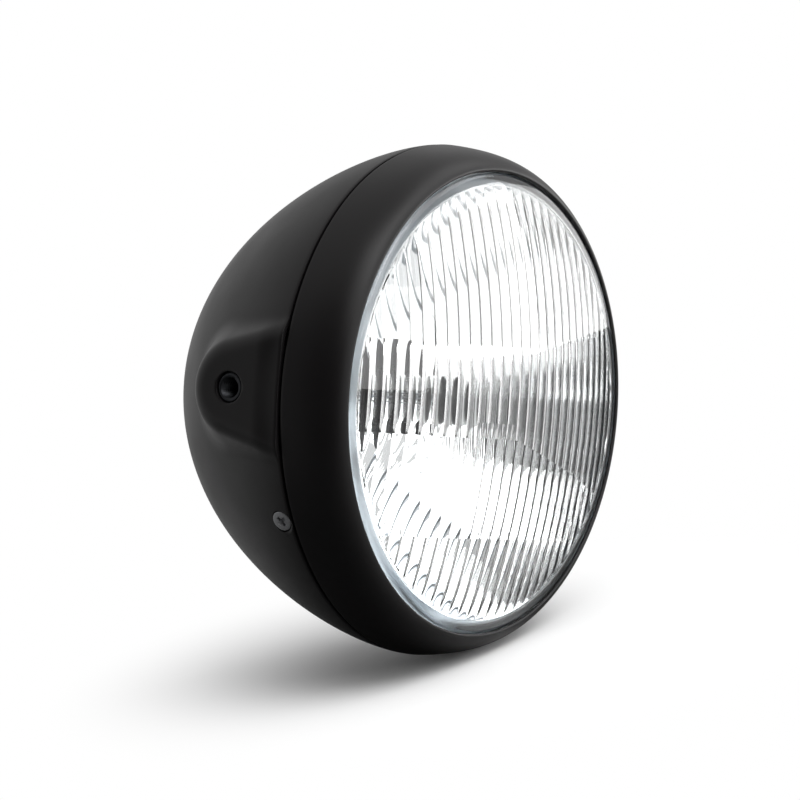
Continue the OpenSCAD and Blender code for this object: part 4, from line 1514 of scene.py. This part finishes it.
@dataclass
class Filament:
    """A coiled tungsten filament with its two leads."""

    name: str
    front: float
    lift: float
    lead_x: float
    length: float = 5.0
    radius: float = 0.9
    wire: float = 0.13
    turns: float = 11.0
    lead: float = 0.35
    cross: float = 0.315
    pinch: float = 37.11

    def lines(self) -> list[list[Point3]]:
        """The rear lead, and the front lead that runs past the coil, in metres."""
        back = self.front + self.length
        bridge = self.front + 2 * self.lead
        rear = [(0.0, back - self.lead), (0.0, self.pinch)]
        side = [(0.0, bridge), (self.lead_x, bridge), (self.lead_x, self.pinch)]
        return [[(x * MM, bowl_y(y), self.lift * MM) for x, y in line] for line in (rear, side)]

    def build(self, material: Material) -> Piece:
        """Winds the coil and joins the leads to it.

        Args:
            material: The tungsten.

        Returns:
            The piece.
        """
        sizes = {
            "Turns": self.turns,
            "Coil radius": (self.radius - self.wire) * MM,
            "Coil length": (self.length - 2 * self.wire) * MM,
            "Wire radius": self.wire * MM,
            "Lead radius": self.cross * MM,
            "Front": bowl_y(self.front + self.wire),
            "Lift": self.lift * MM,
        }
        tree, given = geometry_tree("wound_filament", sizes, material)
        inputs = {
            "Resolution": 20,
            "Rotations": given["Turns"],
            "Start Radius": given["Coil radius"],
            "End Radius": given["Coil radius"],
            "Height": given["Coil length"],
        }
        coil = give(tree, "GeometryNodeCurveSpiral", "Curve", inputs)
        inputs = {"Y": given["Front"], "Z": given["Lift"]}
        inputs = {
            "Geometry": coil,
            "Translation": give(tree, "ShaderNodeCombineXYZ", "Vector", inputs),
            "Rotation": (-math.pi / 2, 0.0, 0.0),
        }
        laid = give(tree, "GeometryNodeTransform", "Geometry", inputs)
        drawn = give(tree, "GeometryNodeMeshToCurve", "Curve", {"Mesh": given["Geometry"]})
        tubes = []
        for curve, size in ((laid, "Wire radius"), (drawn, "Lead radius")):
            inputs = {"Resolution": 10, "Radius": given[size]}
            ring = give(tree, "GeometryNodeCurvePrimitiveCircle", "Curve", inputs)
            inputs = {"Curve": curve, "Profile Curve": ring, "Fill Caps": True}
            tubes.append(give(tree, "GeometryNodeCurveToMesh", "Mesh", inputs))
        close_tree(tree, given, tubes)
        return grow(f"{self.name}_coil", self.lines(), tree, {})


@dataclass
class PhotoCamera:
    """The camera, as fitted to the photograph."""

    distance: float = 1.7296
    focal_px: float = 4699.4
    axis_px: Point = (399.8, 397.6)
    picture_px: int = 800
    sensor_mm: float = 36.0
    aim: Point3 = (0.0, -0.0129, 0.0)
    back: Point3 = (-0.80785, -0.58939, 0.00164)
    right: Point3 = (0.58829, -0.80617, 0.06321)

    def axes(self) -> tuple[Vector, Vector, Vector]:
        """The picture's way right, its way up and the way back to the camera."""
        back = Vector(self.back).normalized()
        right = Vector(self.right)
        right = (right - right.dot(back) * back).normalized()
        return right, back.cross(right), back

    def build(self) -> None:
        """Makes the camera the scene's own."""
        right, up, back = self.axes()
        data = bpy.data.cameras.new("photo_camera")
        data.sensor_width = self.sensor_mm
        data.lens = self.focal_px * self.sensor_mm / self.picture_px
        data.shift_x = (self.picture_px / 2 - self.axis_px[0]) / self.picture_px
        data.shift_y = (self.axis_px[1] - self.picture_px / 2) / self.picture_px
        data.clip_start = 0.01
        data.clip_end = 50
        camera = add_object("photo_camera", data)
        turn = Matrix((right, up, back)).transposed().to_4x4()
        turn.translation = Vector(self.aim) + back * self.distance
        camera.matrix_world = turn
        bpy.context.scene.camera = camera


@dataclass(frozen=True)
class Softbox:
    """A flat studio lamp facing the headlight, given by the brightness of its face.

    Attributes:
        name: Name of the lamp.
        azimuth: Degrees from the way the headlight looks, towards +X.
        elevation: Degrees above the floor's horizon.
        width: Width of its face in metres.
        height: Height of its face.
        radiance: Brightness of its face, where white paper in full light is one.
        distance: Metres from the headlight.
    """

    name: str
    azimuth: float
    elevation: float
    width: float
    height: float
    radiance: float
    distance: float = 2.0

    def place(self) -> Vector:
        """Middle of the lamp's face."""
        a, e = math.radians(self.azimuth), math.radians(self.elevation)
        way = Vector((math.cos(e) * math.sin(a), -math.cos(e) * math.cos(a), math.sin(e)))
        return way * self.distance

    def build(self) -> None:
        """Adds the lamp to the scene."""
        data = bpy.data.lights.new(self.name, "AREA")
        data.shape = "RECTANGLE"
        data.size = self.width
        data.size_y = self.height
        data.energy = self.radiance * math.pi * self.width * self.height
        lamp = add_object(self.name, data)
        lamp.location = self.place()
        lamp.rotation_euler = (-self.place()).to_track_quat("-Z", "Y").to_euler()


@dataclass
class Studio:
    """White sweep, floor and soft lamps, with a dark room beyond and a black flag.

    Attributes:
        camera: The camera, whose picture the floor leans and rolls in.
        lean: Degrees by which the floor leans to the camera, which looked down on it.
        roll: Degrees by which it falls to the left, as the lamp lay on its rim and
            the picture was turned until the lamp stood upright.
        floor_radius: Radius of the paper floor in metres.
        floor_sides: Sides of the round floor.
        clearance: Gap in metres between the lamp and the floor.
        fade: Distances in metres over which the floor melts into the white.
        paper_white: How white the floor is to the eye.
        bounce: How white the floor is for the light that it throws on the lamp:
            beside, behind and before it. Beside the lamp it is near black, as painted shade.
        bounce_turn: Cosines between which the floor turns from behind to before.
        front_way: Direction of the floor before the lamp.
        room: Brightness of the room.
        dark: Brightness of the flag.
        flag_way: Direction of the flag, on the camera's side.
        flag_edge: Cosines between which the flag begins and is full.
        lamps: The softboxes.
    """

    camera: PhotoCamera
    lean: float = 10.0
    roll: float = 9.0
    floor_radius: float = 0.64
    floor_sides: int = 96
    clearance: float = 0.0004
    fade: Point = (0.04, 0.16)
    paper_white: float = 0.92
    bounce: Point3 = (0.07, 0.5, 0.75)
    bounce_turn: Point = (-0.6, 0.6)
    front_way: Point3 = (-0.05, -0.999, 0.0)
    room: float = 0.72
    dark: float = 0.04
    flag_way: Point3 = (-0.98, -0.19, 0.08)
    flag_edge: Point = (0.6, 0.84)
    lamps: tuple[Softbox, ...] = (
        Softbox("right_key_softbox", 45.0, 17.0, 1.07, 0.78, 6.0),
        Softbox("front_tall_softbox", -12.0, 37.0, 1.0, 1.53, 2.2),
        Softbox("left_top_softbox", -38.0, 51.0, 1.3, 1.3, 2.8),
        Softbox("right_top_softbox", 45.0, 58.0, 1.8, 1.15, 1.9),
        Softbox("right_fill_softbox", 75.0, 12.0, 1.07, 1.0, 1.9),
        Softbox("front_low_softbox", 14.0, 9.0, 1.07, 0.56, 3.0),
    )

    def build(self, pieces: Sequence[Piece]) -> None:
        """Builds world, floor and lamps.

        Args:
            pieces: Outer pieces that may touch the floor.
        """
        self.world()
        self.floor(pieces)
        for lamp in self.lamps:
            lamp.build()

    def world(self) -> None:
        """White for the camera, and a soft room with a dark side for all else."""
        world = bpy.data.worlds.new("studio")
        world.use_nodes = True
        tree = world.node_tree
        tree.nodes.clear()
        way = give(tree, "ShaderNodeTexCoord", "Generated")
        flag = Vector(self.flag_way).normalized()
        facing = calc_vector(tree, "DOT_PRODUCT", "Value", way, flag)
        level = ramp(tree, facing, self.flag_edge, (self.room, self.dark), smooth=True)
        seen = give(tree, "ShaderNodeLightPath", "Is Camera Ray")
        strength = mix(tree, seen, level, 1.0, "FLOAT")
        inputs = {"Color": (1.0, 1.0, 1.0, 1.0), "Strength": strength}
        shine = give(tree, "ShaderNodeBackground", "Background", inputs)
        add_node(tree, "ShaderNodeOutputWorld", {"Surface": shine})
        bpy.context.scene.world = world

    def floor(self, pieces: Sequence[Piece]) -> None:
        """Round paper floor under the lamp's lowest point.

        Args:
            pieces: Outer pieces that may touch it.
        """
        _, up, back = self.camera.axes()
        up = Matrix.Rotation(math.radians(self.roll), 3, back) @ up
        side = up.cross(back)
        up = Matrix.Rotation(math.radians(self.lean), 3, side) @ up
        deep = up.cross(side)
        low = min((v.co for piece in pieces for v in piece.data.vertices), key=up.dot)
        ring = [
            tuple(self.floor_radius * (math.cos(a) * side + math.sin(a) * deep))
            for a in even_angles(self.floor_sides)
        ]
        mesh = bpy.data.meshes.new("paper_floor")
        mesh.from_pydata(ring, [], [tuple(range(self.floor_sides))])
        if mesh.polygons[0].normal.dot(up) < 0:
            mesh.flip_normals()
        floor = add_object("paper_floor", mesh)
        floor.location = low - self.clearance * up
        mesh.materials.append(self.paper())

    def paper(self) -> Material:
        """White paper that melts into the white beyond the lamp's shadow."""
        material, tree, place = new_material("white_matt_paper")
        path = add_node(tree, "ShaderNodeLightPath").outputs
        # The paper is white to the eye and through the glass, and grey for its bounce
        seen = calc(tree, "MAXIMUM", path["Is Camera Ray"], path["Is Transmission Ray"])
        way = calc_vector(tree, "NORMALIZE", "Vector", place)
        before = calc_vector(tree, "DOT_PRODUCT", "Value", way, Vector(self.front_way))
        # The floor's bounce is near black beside the lamp: painted shade for the paint's low parts
        beside, behind, ahead = self.bounce
        open_floor = ramp(tree, before, self.bounce_turn, (behind, ahead), smooth=True)
        share = calc(tree, "MULTIPLY", before, before)
        thrown = mix(tree, share, beside, open_floor, "FLOAT")
        tone = mix(tree, seen, thrown, self.paper_white, "FLOAT")
        paper = give(tree, "ShaderNodeBsdfDiffuse", "BSDF", {"Color": tone})
        white = give(tree, "ShaderNodeEmission", "Emission", {"Strength": 1.0})
        far = calc_vector(tree, "LENGTH", "Value", place)
        fade = ramp(tree, far, self.fade, smooth=True)
        melted = calc(tree, "MULTIPLY", fade, path["Is Camera Ray"])
        mixed = mix_shader(tree, melted, paper, white)
        # From below the floor is clear, so that low views aren't blocked
        under = give(tree, "ShaderNodeNewGeometry", "Backfacing")
        clear = give(tree, "ShaderNodeBsdfTransparent", "BSDF")
        finish_tree(tree, mix_shader(tree, under, mixed, clear))
        return material


def main() -> None:
    """Builds the camera, the lamp's sub-assemblies and the studio."""
    logging.basicConfig(level=logging.INFO, format="%(message)s")
    bpy.context.scene.view_settings.view_transform = "Standard"
    camera = PhotoCamera()
    camera.build()
    finishes = Finishes()
    finishes.build()
    finishes.dress_nodes()

    bowl = Bowl()
    skin = finishes.dress(bowl.shell(), Slot.PAINT, "shell")
    rim = Rim(bowl)
    ring = finishes.dress(rim.build(), Slot.PAINT, "rim")
    finishes.dress(FlutedGlass(rim).build(), Slot.LENS, "lens")
    finishes.dress(Reflector().build(), Slot.MIRROR, "reflector")
    for side in Side:
        node = f"{side.name.lower()}_bush"
        finishes.dress(SideBush(bowl).build(side), Slot.BLACK_STEEL, node)
    # The screw heads take a lighter grey steel than the other black steel
    light_head_steel = Metal("lighter_head_steel", "#b4b5b7", "#939496", 0.5, 0.5).material()
    for angle, node in zip(bowl.screw_angles, ("right_rim_screw", "left_rim_screw")):
        piece = RimScrew(bowl).build(angle, f"{node}_cross_head")
        finishes.dress(piece, Slot.BLACK_STEEL, node)
        piece.data.materials[0] = light_head_steel

    clips = UnitClips().build(finishes.made[Slot.SPRING])
    for i, clip in enumerate(clips):
        finishes.dress(clip, Slot.SPRING, f"unit_clip_{i + 1}")
    for filament in (
        Filament("main_filament", front=20.865, lift=0.0, lead_x=-4.5),
        Filament("dip_filament", front=13.365, lift=1.6, lead_x=4.5),
    ):
        finishes.dress(filament.build(finishes.made[Slot.WIRE]), Slot.WIRE, filament.name)

    Studio(camera).build([skin, ring])


if __name__ == "__main__":
    main()
